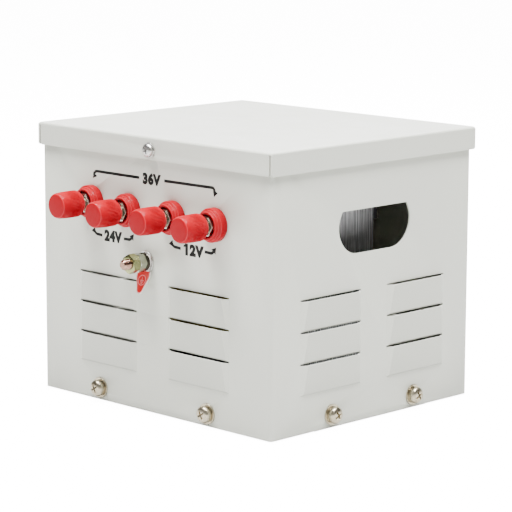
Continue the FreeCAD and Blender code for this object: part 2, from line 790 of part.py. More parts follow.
def wire_lug(linked):
    """A ring lug with its barrel hanging down, drawn with the post along Z."""
    top = stack_levels(linked)[3]
    low = top - lug_thickness
    ring = bar(lug_radius, low, top)
    neck = box(-lug_neck_width / 2, lug_neck_width / 2, -lug_barrel_start - 1, 0, low, top)
    barrel = bar(lug_barrel_radius, 0, lug_barrel_length)
    barrel.rotate(Vector(0, 0, 0), Vector(1, 0, 0), 90)
    barrel.translate(Vector(0, -lug_barrel_start, low - lug_barrel_offset))
    hole = bore(post_radius + hole_fit, low - 1, top + 1)
    return ring.fuse([neck, barrel]).cut(hole)


def make_series_link():
    """The copper strip that joins the two middle output posts."""
    first, second = [Vector(place, height, 0) for name, wall, place, height in posts if name in linked_posts]
    level = stack_levels(True)[2]
    reach = second - first
    strip = box(0, reach.Length, -link_width / 2, link_width / 2, level - link_thickness, level)
    strip.rotate(Vector(0, 0, 0), Vector(0, 0, 1), degrees(atan2(reach.y, reach.x)))
    strip.translate(first)
    eyes = []
    holes = []
    for centre in (first, second):
        eye = bar(link_width / 2, level - link_thickness, level)
        hole = bore(post_radius + hole_fit, level - link_thickness - 1, level + 1)
        eye.translate(centre)
        hole.translate(centre)
        eyes.append(eye)
        holes.append(hole)
    return on_wall(strip.fuse(eyes).removeSplitter().cut(holes), "front", 0, 0)


def routed_lead(points, radius):
    """A lead along straight runs, each bend taken in two mitred turns. The first run is upright."""
    corners = [Vector(*p) for p in points]
    route = [corners[0]]
    for before, corner, after in zip(corners, corners[1:], corners[2:]):
        reach = lead_bend_share * min((corner - before).Length, (after - corner).Length)
        route.append(corner + (before - corner).normalize() * reach)
        route.append(corner + (after - corner).normalize() * reach)
    route.append(corners[-1])
    section = Part.makePolygon([Vector(x, y, 0) + corners[0]
                                for x, y in ring_of_corners(radius, lead_sides) + [(radius, 0)]])
    return Part.makePolygon(route).makePipeShell([section], True, True, 1)


def make_lead(wall, place, height, linked, coil_face):
    """A lead from a lug's barrel down and in to the face of the coil, drawn for the front wall."""
    lug_low = stack_levels(linked)[3] - lug_thickness
    barrel_y = -half_depth - (lug_low - lug_barrel_offset)
    barrel_end = height - lug_barrel_start - lug_barrel_length
    low = barrel_end - lead_drop
    gathered = place * lead_gather
    points = [(place, barrel_y, barrel_end), (place, barrel_y, low),
              (gathered, -coil_face - lead_run_in, low - lead_step), (gathered, -coil_face, low - lead_step)]
    lead = routed_lead(points, lead_radius)
    if wall == "rear":
        lead.rotate(Vector(0, 0, 0), Vector(0, 0, 1), 180)
    return lead


def make_earth():
    """The earth bolt from inside, its washers, two nuts and the tag under them."""
    tag_low = earth_flat_washer_thickness
    spring_low = tag_low + tag_thickness
    nut_low = spring_low + earth_spring_thickness
    flat = tube(earth_flat_washer_radius, earth_radius + hole_fit, 0, tag_low)
    spring = spring_washer(earth_spring_radius, earth_radius + hole_fit, spring_low, nut_low)
    thread = engaged_thread_radius + thread_fit
    first_nut = nut(m6_flats, thread, nut_low, nut_low + m6_nut_height)
    second_low = nut_low + m6_nut_height
    second_nut = nut(m6_flats, thread, second_low, second_low + m6_nut_height, turn=30)
    second_top = second_low + m6_nut_height
    shank = turned([(0, -case_sheet), (earth_radius, -case_sheet), (earth_radius, nut_low),
                    (engaged_thread_radius, nut_low), (engaged_thread_radius, second_top),
                    (earth_radius, second_top), (earth_radius, earth_tip - earth_chamfer),
                    (earth_radius - earth_chamfer, earth_tip), (0, earth_tip)])
    stud = hexagon(m6_flats, -case_sheet - m6_head_height, -case_sheet).fuse(shank)
    tag = make_tag(tag_low)
    pieces = {"earth_bolt": stud, "earth_flat_washer": flat, "earth_tag": tag, "earth_spring_washer": spring,
              "earth_inner_nut": first_nut, "earth_outer_nut": second_nut}
    return {name: on_wall(piece, "front", earth_across, earth_height) for name, piece in pieces.items()}


def make_tag(low):
    """The leaf-shaped tag: an eye round the bolt and a leaf that leans out from the wall."""
    eye = tube(tag_eye_radius, earth_radius + hole_fit, low, low + tag_thickness)
    half = tag_width / 2
    root = half * tag_root_share
    leaf_length = tag_length - tag_bend_start
    tip_y = -leaf_length + tag_tip_radius
    shoulder = -leaf_length * tag_shoulder_share
    right = Part.Arc(Vector(root, 0, 0), Vector(half, shoulder, 0), Vector(root, 2 * shoulder, 0))
    left = Part.Arc(Vector(-root, 2 * shoulder, 0), Vector(-half, shoulder, 0), Vector(-root, 0, 0))
    tip = Part.Arc(Vector(tag_tip_radius, tip_y, 0), Vector(0, -leaf_length, 0),
                   Vector(-tag_tip_radius, tip_y, 0))
    outline = Part.Wire([right.toShape(),
                         Part.makeLine(Vector(root, 2 * shoulder, 0), Vector(tag_tip_radius, tip_y, 0)),
                         tip.toShape(),
                         Part.makeLine(Vector(-tag_tip_radius, tip_y, 0), Vector(-root, 2 * shoulder, 0)),
                         left.toShape(),
                         Part.makeLine(Vector(-root, 0, 0), Vector(root, 0, 0))])
    leaf = Part.Face(outline).extrude(Vector(0, 0, tag_thickness))
    leaf.rotate(Vector(0, 0, 0), Vector(1, 0, 0), -tag_lean)
    leaf.translate(Vector(0, -tag_bend_start, low))
    neck_half = half * tag_neck_share
    neck_end = -tag_bend_start - tag_thickness * sin(radians(tag_lean))
    neck = box(-neck_half, neck_half, neck_end, -earth_radius - 1, low, low + tag_thickness)
    return eye.fuse([neck, leaf]).removeSplitter()


def make_posts():
    """Everything that repeats at each binding post, grouped where the pieces are alike."""
    groups = {"post_studs": [], "post_outer_bushes": [], "post_inner_bushes": [], "post_washers": [],
              "post_nuts": [], "post_lugs": []}
    singles = {}
    knob, insert = knob_and_insert()
    for label, wall, place, height in posts:
        linked = label in linked_posts
        washer, first_nut, link, lug, last_nut, end = stack_levels(linked)
        thread = post_radius + thread_fit
        pieces = [("post_studs", post_stud(linked)), ("post_outer_bushes", outer_bush()),
                  ("post_inner_bushes", inner_bush()),
                  ("post_washers", tube(m6_washer_radius, post_radius + hole_fit, first_nut, washer)),
                  ("post_nuts", nut(m6_flats, thread, link, first_nut)),
                  ("post_nuts", nut(m6_flats, thread, end, last_nut)),
                  ("post_lugs", wire_lug(linked))]
        for name, piece in pieces:
            groups[name].append(on_wall(piece, wall, place, height))
        singles["knob_" + label] = on_wall(knob, wall, place, height)
        singles["knob_insert_" + label] = on_wall(insert, wall, place, height)
        singles["clamp_washer_" + label] = on_wall(clamp_washer(), wall, place, height)
    return groups, singles


def main():
    """Build every piece and write it."""
    os.makedirs("parts", exist_ok=True)
    save("case_wrap", make_case_wrap())
    save("lid", make_lid())
    save("base_tray", make_base_tray())
    for name, shapes in list(make_base_hardware().items()) + list(make_lid_hardware().items()):
        save(name, Part.makeCompound(shapes))
    save("core_stack", make_core())
    coil, coil_face = make_coil()
    for name, shape in coil.items():
        save(name, shape)
    save("lower_clamp_angles", Part.makeCompound([clamp_angle(turn, False) for turn in (0, 180)]))
    save("upper_clamp_angles", Part.makeCompound([clamp_angle(turn, True) for turn in (0, 180)]))
    names = ("core_bolts", "core_washers", "core_nuts", "foot_bolts", "foot_washers", "foot_nuts")
    for name, shapes in zip(names, core_hardware()):
        save(name, Part.makeCompound(shapes))
    groups, singles = make_posts()
    for name, shapes in groups.items():
        save(name, Part.makeCompound(shapes))
    for name, shape in singles.items():
        save(name, shape)
    save("series_link", make_series_link())
    for name, shape in make_earth().items():
        save(name, shape)
    leads = {"output_leads": [], "input_leads": []}
    for name, wall, place, height in posts:
        kind = "output_leads" if wall == "front" else "input_leads"
        leads[kind].append(make_lead(wall, place, height, name in linked_posts, coil_face))
    for name, shapes in leads.items():
        save(name, Part.makeCompound(shapes))


main()
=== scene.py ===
# %% [markdown]
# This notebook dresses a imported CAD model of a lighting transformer: a sheet steel box with louvres,
# hand holes, red binding posts and an earth bolt. The CAD model arrives first and stays as it is.
# It says where every piece sits, and each piece made here is measured from it, in metres.

import math

import bmesh
import bpy
from mathutils import Matrix, Vector


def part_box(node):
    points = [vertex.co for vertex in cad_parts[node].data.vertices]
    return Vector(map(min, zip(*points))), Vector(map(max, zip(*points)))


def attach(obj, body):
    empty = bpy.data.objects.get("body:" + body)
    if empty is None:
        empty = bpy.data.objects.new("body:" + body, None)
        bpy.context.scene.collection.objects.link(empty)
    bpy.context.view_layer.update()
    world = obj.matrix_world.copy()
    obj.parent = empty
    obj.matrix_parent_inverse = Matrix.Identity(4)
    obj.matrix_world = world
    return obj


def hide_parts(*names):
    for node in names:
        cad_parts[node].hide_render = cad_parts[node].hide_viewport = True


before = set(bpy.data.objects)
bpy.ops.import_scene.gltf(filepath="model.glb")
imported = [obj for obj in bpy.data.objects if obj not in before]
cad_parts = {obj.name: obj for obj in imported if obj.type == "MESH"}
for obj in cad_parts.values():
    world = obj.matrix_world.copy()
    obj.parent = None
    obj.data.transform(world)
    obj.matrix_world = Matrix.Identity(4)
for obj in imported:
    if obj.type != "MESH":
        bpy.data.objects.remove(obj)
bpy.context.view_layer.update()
print("CAD nodes:", len(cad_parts))

MM = 0.001

# %% [markdown]
# The photograph was taken with a long lens, a little above the object, with the front wall to the left
# and a side wall to the right. A long lens far away keeps upright edges nearly parallel, which is why
# the lens is long here and the camera stands about 1.4 m off.

# %% Camera
camera_turn = math.radians(44.83)
camera_height = math.radians(10.12)
camera_roll = math.radians(0.18)
camera_distance = 1.398
camera_lens = 165.8
camera_target = Vector((0.0006, 0.0, 0.0818))


def make_camera():
    """A camera on a sphere round the target, turned to look at it."""
    back = Vector((math.sin(camera_turn) * math.cos(camera_height),
                   -math.cos(camera_turn) * math.cos(camera_height),
                   math.sin(camera_height)))
    data = bpy.data.cameras.new("camera")
    data.lens = camera_lens
    data.sensor_width = 36.0
    data.clip_start = 0.05
    data.clip_end = 20.0
    camera = bpy.data.objects.new("camera", data)
    turn = back.to_track_quat("Z", "Y").to_matrix().to_4x4()
    camera.matrix_world = (Matrix.Translation(camera_target + back * camera_distance) @ turn
                           @ Matrix.Rotation(camera_roll, 4, "Z"))
    bpy.context.scene.collection.objects.link(camera)
    bpy.context.scene.camera = camera
    return camera


camera = make_camera()
print("Camera stands at", [round(value, 3) for value in camera.matrix_world.translation])

# %% [markdown]
# The object was photographed on white, with soft light from high up on both sides, so that the lid is the
# brightest and whatever leans down is a little darker. The floor is a wide pale disc. It glows only for the
# camera, which sees it white, and what it throws back on the walls is the light of plain pale paper.

# %% Floor and light
floor_radius = 6.0
floor_tone = (0.68, 0.68, 0.68)
floor_glow = 14.0
world_strength = 0.20
light_aim = Vector((0.0, 0.0, 0.08))
soft_lights = [("left soft light", (-0.35, -0.64, 1.95), 0.7, 82.0),
               ("right soft light", (0.70, -0.12, 1.95), 0.7, 76.0),
               ("overhead soft light", (0.1, 0.1, 1.6), 1.2, 62.0),
               ("low front light", (1.0, -1.0, 0.45), 0.9, 1.5),
               ("rear soft light", (-0.9, 1.2, 1.3), 1.0, 16.0)]


def make_floor():
    """A pale disc just under the object."""
    bm = bmesh.new()
    bmesh.ops.create_circle(bm, cap_ends=True, segments=96, radius=floor_radius)
    mesh = bpy.data.meshes.new("floor")
    bm.to_mesh(mesh)
    bm.free()
    floor = bpy.data.objects.new("floor", mesh)
    floor.location.z = -0.0002
    bpy.context.scene.collection.objects.link(floor)
    material = bpy.data.materials.new("pale floor")
    material.use_nodes = True
    shader = material.node_tree.nodes["Principled BSDF"]
    shader.inputs["Base Color"].default_value = (*floor_tone, 1.0)
    shader.inputs["Roughness"].default_value = 0.85
    shader.inputs["Specular IOR Level"].default_value = 0.1
    shader.inputs["Emission Color"].default_value = (1.0, 1.0, 1.0, 1.0)
    seen = material.node_tree.nodes.new("ShaderNodeLightPath").outputs["Is Camera Ray"]
    glow = material.node_tree.nodes.new("ShaderNodeMath")
    glow.operation = "MULTIPLY"
    glow.inputs[1].default_value = floor_glow
    material.node_tree.links.new(seen, glow.inputs[0])
    material.node_tree.links.new(glow.outputs[0], shader.inputs["Emission Strength"])
    mesh.materials.append(material)


def area_light(name, place, size, power):
    """A square soft light at a place, turned to the object."""
    data = bpy.data.lights.new(name, "AREA")
    data.shape = "SQUARE"
    data.size = size
    data.energy = power
    light = bpy.data.objects.new(name, data)
    place = Vector(place)
    facing = (place - light_aim).to_track_quat("Z", "Y")
    light.matrix_world = Matrix.Translation(place) @ facing.to_matrix().to_4x4()
    bpy.context.scene.collection.objects.link(light)
    return light


make_floor()
lights = {row[0]: area_light(*row) for row in soft_lights}
lights["low front light"].visible_glossy = False
world = bpy.data.worlds.new("studio")
world.use_nodes = True
world.node_tree.nodes["Background"].inputs["Color"].default_value = (1.0, 1.0, 1.0, 1.0)
world.node_tree.nodes["Background"].inputs["Strength"].default_value = world_strength
bpy.context.scene.world = world
print("Lights:", ", ".join(lights))

# %% [markdown]
# Every finish on the object shows small changes of tone. Three effects come back in many materials, so
# each is a node group that is built once: mottling is a slow change of tone, grain is the fine texture
# that a surface is left with, and dust settles on whatever faces up.

# %% Shared node groups


def new_group(name, inputs, outputs):
    """An empty node group with float inputs (name, default) and named float outputs."""
    group = bpy.data.node_groups.new(name, "ShaderNodeTree")
    for label, default in inputs:
        socket = group.interface.new_socket(label, in_out="INPUT", socket_type="NodeSocketFloat")
        socket.default_value = default
    for label in outputs:
        group.interface.new_socket(label, in_out="OUTPUT", socket_type="NodeSocketFloat")
    return group, group.nodes.new("NodeGroupInput"), group.nodes.new("NodeGroupOutput")


def math_node(tree, operation, first, second, clamp=False):
    """A math node with each side either a socket or a number."""
    node = tree.nodes.new("ShaderNodeMath")
    node.operation = operation
    node.use_clamp = clamp
    for socket, value in zip(node.inputs, (first, second)):
        if hasattr(value, "is_linked"):
            tree.links.new(value, socket)
        else:
            socket.default_value = value
    return node.outputs[0]


def place_on(tree):
    """The place on the object."""
    return tree.nodes.new("ShaderNodeTexCoord").outputs["Object"]


def facing_of(tree):
    """Where the surface faces."""
    return tree.nodes.new("ShaderNodeNewGeometry").outputs["True Normal"]


def parts_of(tree, vector):
    """The X, Y and Z of a place or a direction."""
    parts = tree.nodes.new("ShaderNodeSeparateXYZ")
    tree.links.new(vector, parts.inputs[0])
    return parts.outputs


def object_noise(tree, scale, detail=3.0, roughness=0.5):
    """Noise on Object coordinates; its scale may be a socket."""
    noise = tree.nodes.new("ShaderNodeTexNoise")
    tree.links.new(place_on(tree), noise.inputs["Vector"])
    if hasattr(scale, "is_linked"):
        tree.links.new(scale, noise.inputs["Scale"])
    else:
        noise.inputs["Scale"].default_value = scale
    noise.inputs["Detail"].default_value = detail
    noise.inputs["Roughness"].default_value = roughness
    return noise.outputs["Fac"]


def make_mottle_group():
    """Slow tone changes at a coarse and a middling scale."""
    group, given, result = new_group("mottle", [("Scale", 20.0), ("Contrast", 1.0)], ["Mask"])
    coarse = object_noise(group, given.outputs["Scale"], 2.0)
    finer_scale = math_node(group, "MULTIPLY", given.outputs["Scale"], 5.3)
    finer = object_noise(group, finer_scale, 4.0, 0.6)
    both = math_node(group, "ADD", math_node(group, "MULTIPLY", coarse, 0.65),
                     math_node(group, "MULTIPLY", finer, 0.35))
    centred = math_node(group, "MULTIPLY", math_node(group, "SUBTRACT", both, 0.5),
                        given.outputs["Contrast"])
    group.links.new(math_node(group, "ADD", centred, 0.5, clamp=True), result.inputs["Mask"])
    return group


def make_grain_group():
    """Fine even texture, as height."""
    group, given, result = new_group("grain", [("Scale", 900.0), ("Height", 1.0)], ["Height"])
    fine = object_noise(group, given.outputs["Scale"], 2.0, 0.55)
    group.links.new(math_node(group, "MULTIPLY", fine, given.outputs["Height"]), result.inputs["Height"])
    return group


def make_dust_group():
    """How much dust lies here: only where the surface faces up, and unevenly."""
    group, given, result = new_group("dust", [("Amount", 0.3)], ["Mask"])
    upward = math_node(group, "MAXIMUM", parts_of(group, facing_of(group))["Z"], 0.0)
    upward = math_node(group, "POWER", upward, 3.0)
    patches = object_noise(group, 60.0, 5.0, 0.65)
    lying = math_node(group, "MULTIPLY", upward, patches)
    group.links.new(math_node(group, "MULTIPLY", lying, given.outputs["Amount"], clamp=True),
                    result.inputs["Mask"])
    return group


mottle_group = make_mottle_group()
grain_group = make_grain_group()
dust_group = make_dust_group()
print("Shared groups:", [group.name for group in bpy.data.node_groups])

# %% [markdown]
# All finishes start the same way: a Principled shader whose colour moves between two near tones, whose
# roughness follows the same mask, and whose bump comes from the grain. What makes paint, plating,
# phenolic or copper of it are the two tones, the roughness, the metal and the coat.

# %% A finish and its parts


def use_group(tree, group, **values):
    """A copy of a shared group with its own values."""
    node = tree.nodes.new("ShaderNodeGroup")
    node.node_tree = group
    for label, value in values.items():
        node.inputs[label].default_value = value
    return node


def mix_colours(tree, factor, first, second):
    """A blend of two colours, each a socket or an (r, g, b)."""
    mix = tree.nodes.new("ShaderNodeMix")
    mix.data_type = "RGBA"
    if hasattr(factor, "is_linked"):
        tree.links.new(factor, mix.inputs["Factor"])
    else:
        mix.inputs["Factor"].default_value = factor
    for label, value in (("A", first), ("B", second)):
        socket = [s for s in mix.inputs if s.name == label and s.type == "RGBA"][0]
        if hasattr(value, "is_linked"):
            tree.links.new(value, socket)
        else:
            socket.default_value = (*value, 1.0)
    return [s for s in mix.outputs if s.type == "RGBA"][0]


class Finish:
    """A material under construction: the tree, its shader, and the colour and height so far."""

    def __init__(self, name, dark, light, mottle_scale=18.0, mottle_contrast=1.0):
        self.material = bpy.data.materials.new(name)
        self.material.use_nodes = True
        self.tree = self.material.node_tree
        self.shader = self.tree.nodes["Principled BSDF"]
        self.mottle = use_group(self.tree, mottle_group, Scale=mottle_scale,
                                Contrast=mottle_contrast).outputs["Mask"]
        self.colour = mix_colours(self.tree, self.mottle, dark, light)
        self.height = None

    def set(self, **values):
        """Values that are the same all over, straight on the shader."""
        for label, value in values.items():
            self.shader.inputs[label.replace("_", " ")].default_value = value
        return self

    def roughness(self, low, high, mask=None):
        """Roughness between two values, following the mottling or a mask."""
        span = self.tree.nodes.new("ShaderNodeMapRange")
        self.tree.links.new(mask or self.mottle, span.inputs["Value"])
        span.inputs["To Min"].default_value = low
        span.inputs["To Max"].default_value = high
        self.tree.links.new(span.outputs["Result"], self.shader.inputs["Roughness"])
        return self

    def blend(self, mask, colour):
        """Another colour wherever the mask is high."""
        self.colour = mix_colours(self.tree, mask, self.colour, colour)
        return self

    def dust(self, amount, colour):
        """Settled dust on upward faces."""
        return self.blend(use_group(self.tree, dust_group, Amount=amount).outputs["Mask"], colour)

    def raise_by(self, height):
        """Adds a height socket to the bump."""
        self.height = height if self.height is None else math_node(self.tree, "ADD", self.height, height)
        return self

    def grain(self, scale, height):
        """Adds fine grain to the bump."""
        return self.raise_by(use_group(self.tree, grain_group, Scale=scale, Height=height).outputs["Height"])

    def done(self, bump_distance=0.00005, bump_strength=1.0):
        """Links the colour and the bump, and gives the material."""
        self.tree.links.new(self.colour, self.shader.inputs["Base Color"])
        if self.height is not None:
            bump = self.tree.nodes.new("ShaderNodeBump")
            bump.inputs["Distance"].default_value = bump_distance
            bump.inputs["Strength"].default_value = bump_strength
            self.tree.links.new(self.height, bump.inputs["Height"])
            self.tree.links.new(bump.outputs["Normal"], self.shader.inputs["Normal"])
        return self.material


# %% [markdown]
# Lines on a surface, such as the sheets of the core, the turns of a winding or a lathe's marks, are waves
# along one axis. A wave on Object coordinates needs no unwrapping, and stays put when a piece moves.

# %% Lines along an axis


def lines_along(tree, axis, pitch, wobble=0.0):
    """A 0 to 1 wave that repeats every pitch, in metres, along X, Y or Z."""
    turns = math_node(tree, "MULTIPLY", parts_of(tree, place_on(tree))[axis], 2.0 * math.pi / pitch)
    if wobble:
        shift = math_node(tree, "MULTIPLY", object_noise(tree, 0.2 / pitch, 2.0), wobble)
        turns = math_node(tree, "ADD", turns, shift)
    wave = math_node(tree, "SINE", turns, 0.0)
    return math_node(tree, "MULTIPLY", math_node(tree, "ADD", wave, 1.0), 0.5)


def streaks_along(tree, stretch, scale):
    """Noise that is drawn out along the axes where stretch is small."""
    mapping = tree.nodes.new("ShaderNodeMapping")
    mapping.inputs["Scale"].default_value = stretch
    tree.links.new(place_on(tree), mapping.inputs["Vector"])
    noise = tree.nodes.new("ShaderNodeTexNoise")
    noise.inputs["Scale"].default_value = scale
    noise.inputs["Detail"].default_value = 4.0
    tree.links.new(mapping.outputs["Vector"], noise.inputs["Vector"])
    return noise.outputs["Fac"]


def sharpen(tree, value, low, high):
    """Stretches a mask so that low becomes 0 and high becomes 1."""
    span = tree.nodes.new("ShaderNodeMapRange")
    span.inputs["From Min"].default_value = low
    span.inputs["From Max"].default_value = high
    tree.links.new(value, span.inputs["Value"])
    return span.outputs["Result"]


# %% [markdown]
# The casing, the lid and the tray are sprayed in a warm light grey with a satin sheen. Sprayed paint has
# a fine orange peel, and handling leaves faint smudges, so the roughness changes more than the colour.
# Whatever leans down, such as the blades of the louvres, gets a darker tone: painted shade, for light that
# falls from above.

# %% Paint
paint_tone = (0.600, 0.612, 0.540)
paint_shade = (0.566, 0.578, 0.508)
smudge_tone = (0.50, 0.508, 0.455)
# the darker tone of the painted shade on faces that lean down
painted_shade_tone = (0.40, 0.41, 0.36)
dust_tone = (0.80, 0.80, 0.80)


def painted_downward_shade(tree):
    """Painted shade: how much the surface leans down, away from the light above: a little on a blade, fully
    on its heel.
    """
    lean = math_node(tree, "MULTIPLY", parts_of(tree, facing_of(tree))["Z"], -1.0)
    return math_node(tree, "ADD", math_node(tree, "MULTIPLY", sharpen(tree, lean, 0.03, 0.10), 0.5),
                     math_node(tree, "MULTIPLY", sharpen(tree, lean, 0.25, 0.6), 0.5))


def make_paint(name, shade, tone, roughness):
    """Sprayed paint on sheet steel."""
    finish = Finish(name, shade, tone, 9.0, 1.2)
    tree = finish.tree
    smudges = sharpen(tree, object_noise(tree, 34.0, 6.0, 0.7), 0.62, 0.80)
    finish.blend(math_node(tree, "MULTIPLY", smudges, 0.10), smudge_tone)
    # painted shade on whatever leans down, for light that falls from above
    finish.blend(painted_downward_shade(tree), painted_shade_tone)
    finish.roughness(roughness - 0.06, roughness + 0.07)
    finish.dust(0.6, dust_tone)
    finish.grain(1400.0, 0.6).grain(420.0, 0.4)
    return finish.set(Coat_Weight=0.12, Coat_Roughness=0.25).done(0.00003)


casing_paint = make_paint("casing paint", paint_shade, paint_tone, 0.46)
tray_paint = make_paint("tray paint", (0.44, 0.43, 0.41), (0.50, 0.49, 0.47), 0.5)
print("Paints:", casing_paint.name, "and", tray_paint.name)

# %% [markdown]
# The screws, washers and nuts are plated. Bright zinc is bluish, passivated zinc is yellow or slightly
# green, and the earth bolt has a copper colour. Plating is a metal with patches of another tint.

# %% Plated metal


def make_plating(name, shade, tone, patch, low, high):
    """Plated steel or brass: tinted metal with patches and fine scratches."""
    finish = Finish(name, shade, tone, 160.0, 1.6)
    tree = finish.tree
    patches = sharpen(tree, object_noise(tree, 420.0, 3.0), 0.50, 0.72)
    finish.blend(math_node(tree, "MULTIPLY", patches, 0.55), patch)
    scratches = sharpen(tree, streaks_along(tree, (1.0, 1.0, 0.06), 2600.0), 0.55, 0.75)
    finish.raise_by(math_node(tree, "MULTIPLY", scratches, 0.25))
    finish.grain(3000.0, 0.4)
    finish.roughness(low, high)
    return finish.set(Metallic=1.0).done(0.00002)


bright_zinc = make_plating("bright zinc", (0.42, 0.42, 0.41), (0.68, 0.67, 0.65), (0.46, 0.41, 0.33),
                           0.20, 0.36)
screw_zinc = make_plating("yellowed zinc", (0.36, 0.31, 0.21), (0.62, 0.56, 0.43), (0.36, 0.27, 0.16),
                          0.20, 0.38)
green_zinc = make_plating("passivated zinc", (0.16, 0.17, 0.07), (0.34, 0.35, 0.17), (0.28, 0.24, 0.10),
                          0.18, 0.32)
copper_plate = make_plating("copper plating", (0.20, 0.11, 0.08), (0.46, 0.30, 0.23), (0.16, 0.08, 0.05),
                            0.14, 0.28)
nickel_plate = make_plating("nickel plating", (0.40, 0.37, 0.31), (0.68, 0.65, 0.58), (0.42, 0.34, 0.24),
                            0.14, 0.28)
plain_brass = make_plating("plain brass", (0.60, 0.44, 0.18), (0.78, 0.60, 0.28), (0.50, 0.36, 0.16),
                           0.25, 0.4)
tinned_metal = make_plating("tinned copper", (0.60, 0.59, 0.56), (0.72, 0.71, 0.68), (0.64, 0.52, 0.40),
                            0.3, 0.45)
dull_zinc = make_plating("dull zinc", (0.42, 0.42, 0.42), (0.56, 0.56, 0.56), (0.48, 0.45, 0.38),
                         0.38, 0.55)
pale_zinc = make_plating("pale zinc", (0.26, 0.28, 0.21), (0.48, 0.50, 0.40), (0.32, 0.31, 0.19),
                         0.18, 0.32)
black_oxide = make_plating("black oxide", (0.030, 0.027, 0.020), (0.07, 0.064, 0.05), (0.09, 0.075, 0.05),
                           0.3, 0.5)
print("Finishes so far:", len(bpy.data.materials))

# %% [markdown]
# The knobs and the bushes are moulded in red phenolic. It is glossy, with a faint unevenness from the
# mould, and it is a little darker and duller in places. A clear coat gives the hard highlight. The rims
# get a paler tone, a painted highlight: they are found by their slope, neither along the post nor across it.

# %% Red phenolic
red_tone = (0.330, 0.001, 0.008)
red_shade = (0.265, 0.001, 0.006)
bush_tone = (0.34, 0.001, 0.008)
bush_shade = (0.27, 0.001, 0.006)
# the tone of the painted highlight on the rims
painted_rim_highlight = (0.66, 0.07, 0.08)
rim_low, rim_high, rim_highlight_share = 0.42, 0.86, 0.36


def make_phenolic(name, shade, tone, roughness):
    """Moulded phenolic with a hard gloss and a painted highlight on its rims."""
    finish = Finish(name, shade, tone, 70.0, 1.3)
    tree = finish.tree
    slope = math_node(tree, "ABSOLUTE", parts_of(tree, facing_of(tree))["Y"], 0.0)
    rim = math_node(tree, "MULTIPLY", math_node(tree, "GREATER_THAN", slope, rim_low),
                    math_node(tree, "LESS_THAN", slope, rim_high))
    # painted highlight on the sloping rims of the knobs and bushes
    finish.blend(math_node(tree, "MULTIPLY", rim, rim_highlight_share), painted_rim_highlight)
    finish.roughness(roughness - 0.05, roughness + 0.08)
    finish.grain(1500.0, 0.3).grain(300.0, 0.5)
    return finish.set(Coat_Weight=0.14, Coat_Roughness=0.07, Specular_IOR_Level=0.03).done(0.00002)


knob_red = make_phenolic("knob red", red_shade, red_tone, 0.34)
bush_red = make_phenolic("bush red", bush_shade, bush_tone, 0.36)
print("Red finishes:", knob_red.name, "and", bush_red.name)

# %% [markdown]
# Inside, the core is a stack of varnished steel sheets that shows as fine upright lines through the hand
# hole. The coil carries a bobbin, enamelled copper, pressed paper and a varnished tape.

# %% Inner finishes


def make_lamination():
    """Stacked sheets, seen on their edges: lines along the stack, darker where the varnish pooled."""
    finish = Finish("core sheets", (0.30, 0.30, 0.31), (0.46, 0.46, 0.47), 50.0, 1.5)
    sheets = streaks_along(finish.tree, (0.02, 1.0, 0.02), 1500.0)
    finish.blend(sharpen(finish.tree, sheets, 0.48, 0.66), (0.86, 0.86, 0.87))
    finish.raise_by(lines_along(finish.tree, "Y", 0.001))
    finish.roughness(0.35, 0.6)
    return finish.set(Metallic=0.3).done(0.00008)


def make_winding(name, shade, tone, axis, pitch):
    """Enamelled wire laid turn by turn."""
    finish = Finish(name, shade, tone, 90.0, 1.4)
    finish.raise_by(lines_along(finish.tree, axis, pitch, 0.6))
    finish.roughness(0.22, 0.4)
    return finish.set(Metallic=0.8, Coat_Weight=0.4).done(0.0003)


def make_tape():
    """Varnished tape in overlapping turns."""
    finish = Finish("coil tape", (0.34, 0.24, 0.05), (0.52, 0.39, 0.10), 60.0, 1.3)
    edges = sharpen(finish.tree, lines_along(finish.tree, "Z", 0.018, 0.15), 0.93, 0.99)
    finish.blend(math_node(finish.tree, "MULTIPLY", edges, 0.6), (0.22, 0.15, 0.03))
    finish.raise_by(edges).grain(700.0, 0.5)
    finish.roughness(0.25, 0.45)
    return finish.set(Coat_Weight=0.5, Coat_Roughness=0.2).done(0.0001)


def make_plain(name, shade, tone, low, high, grain, height, coat=0.0, specular=0.5):
    """Paper, nylon, sleeve or enamel: two tones, a roughness and a grain."""
    finish = Finish(name, shade, tone, 80.0, 1.3)
    finish.roughness(low, high)
    finish.grain(grain, height)
    return finish.set(Coat_Weight=coat, Specular_IOR_Level=specular).done(0.00005)


core_finish = make_lamination()
copper_finish = make_winding("copper turns", (0.48, 0.17, 0.07), (0.66, 0.28, 0.12), "Z", 0.0012)
tape_finish = make_tape()
paper_finish = make_plain("pressed paper", (0.40, 0.29, 0.16), (0.52, 0.39, 0.22), 0.7, 0.85, 900.0, 1.0)
nylon_finish = make_plain("bobbin nylon", (0.62, 0.59, 0.50), (0.72, 0.69, 0.60), 0.35, 0.5, 500.0, 0.5)
enamel_finish = make_plain("black enamel", (0.030, 0.030, 0.033), (0.060, 0.060, 0.064), 0.3, 0.5,
                           800.0, 0.8, 0.3)
sleeve_finish = make_plain("lead sleeve", (0.050, 0.050, 0.055), (0.095, 0.095, 0.105), 0.5, 0.7, 1800.0, 1.0)
print_black = make_plain("print black", (0.006, 0.007, 0.006), (0.012, 0.013, 0.012), 0.6, 0.75, 900.0, 0.4,
                         specular=0.1)
tag_red = make_plain("tag red", (0.62, 0.018, 0.018), (0.76, 0.030, 0.028), 0.25, 0.4, 600.0, 0.3, 0.4)
sign_pink = make_plain("sign pink", (0.74, 0.20, 0.20), (0.84, 0.30, 0.29), 0.35, 0.5, 600.0, 0.3)
print("Finishes:", len(bpy.data.materials))

# %% [markdown]
# The CAD pieces that stay are dressed first: each gets its finish in its own material slot, by name.

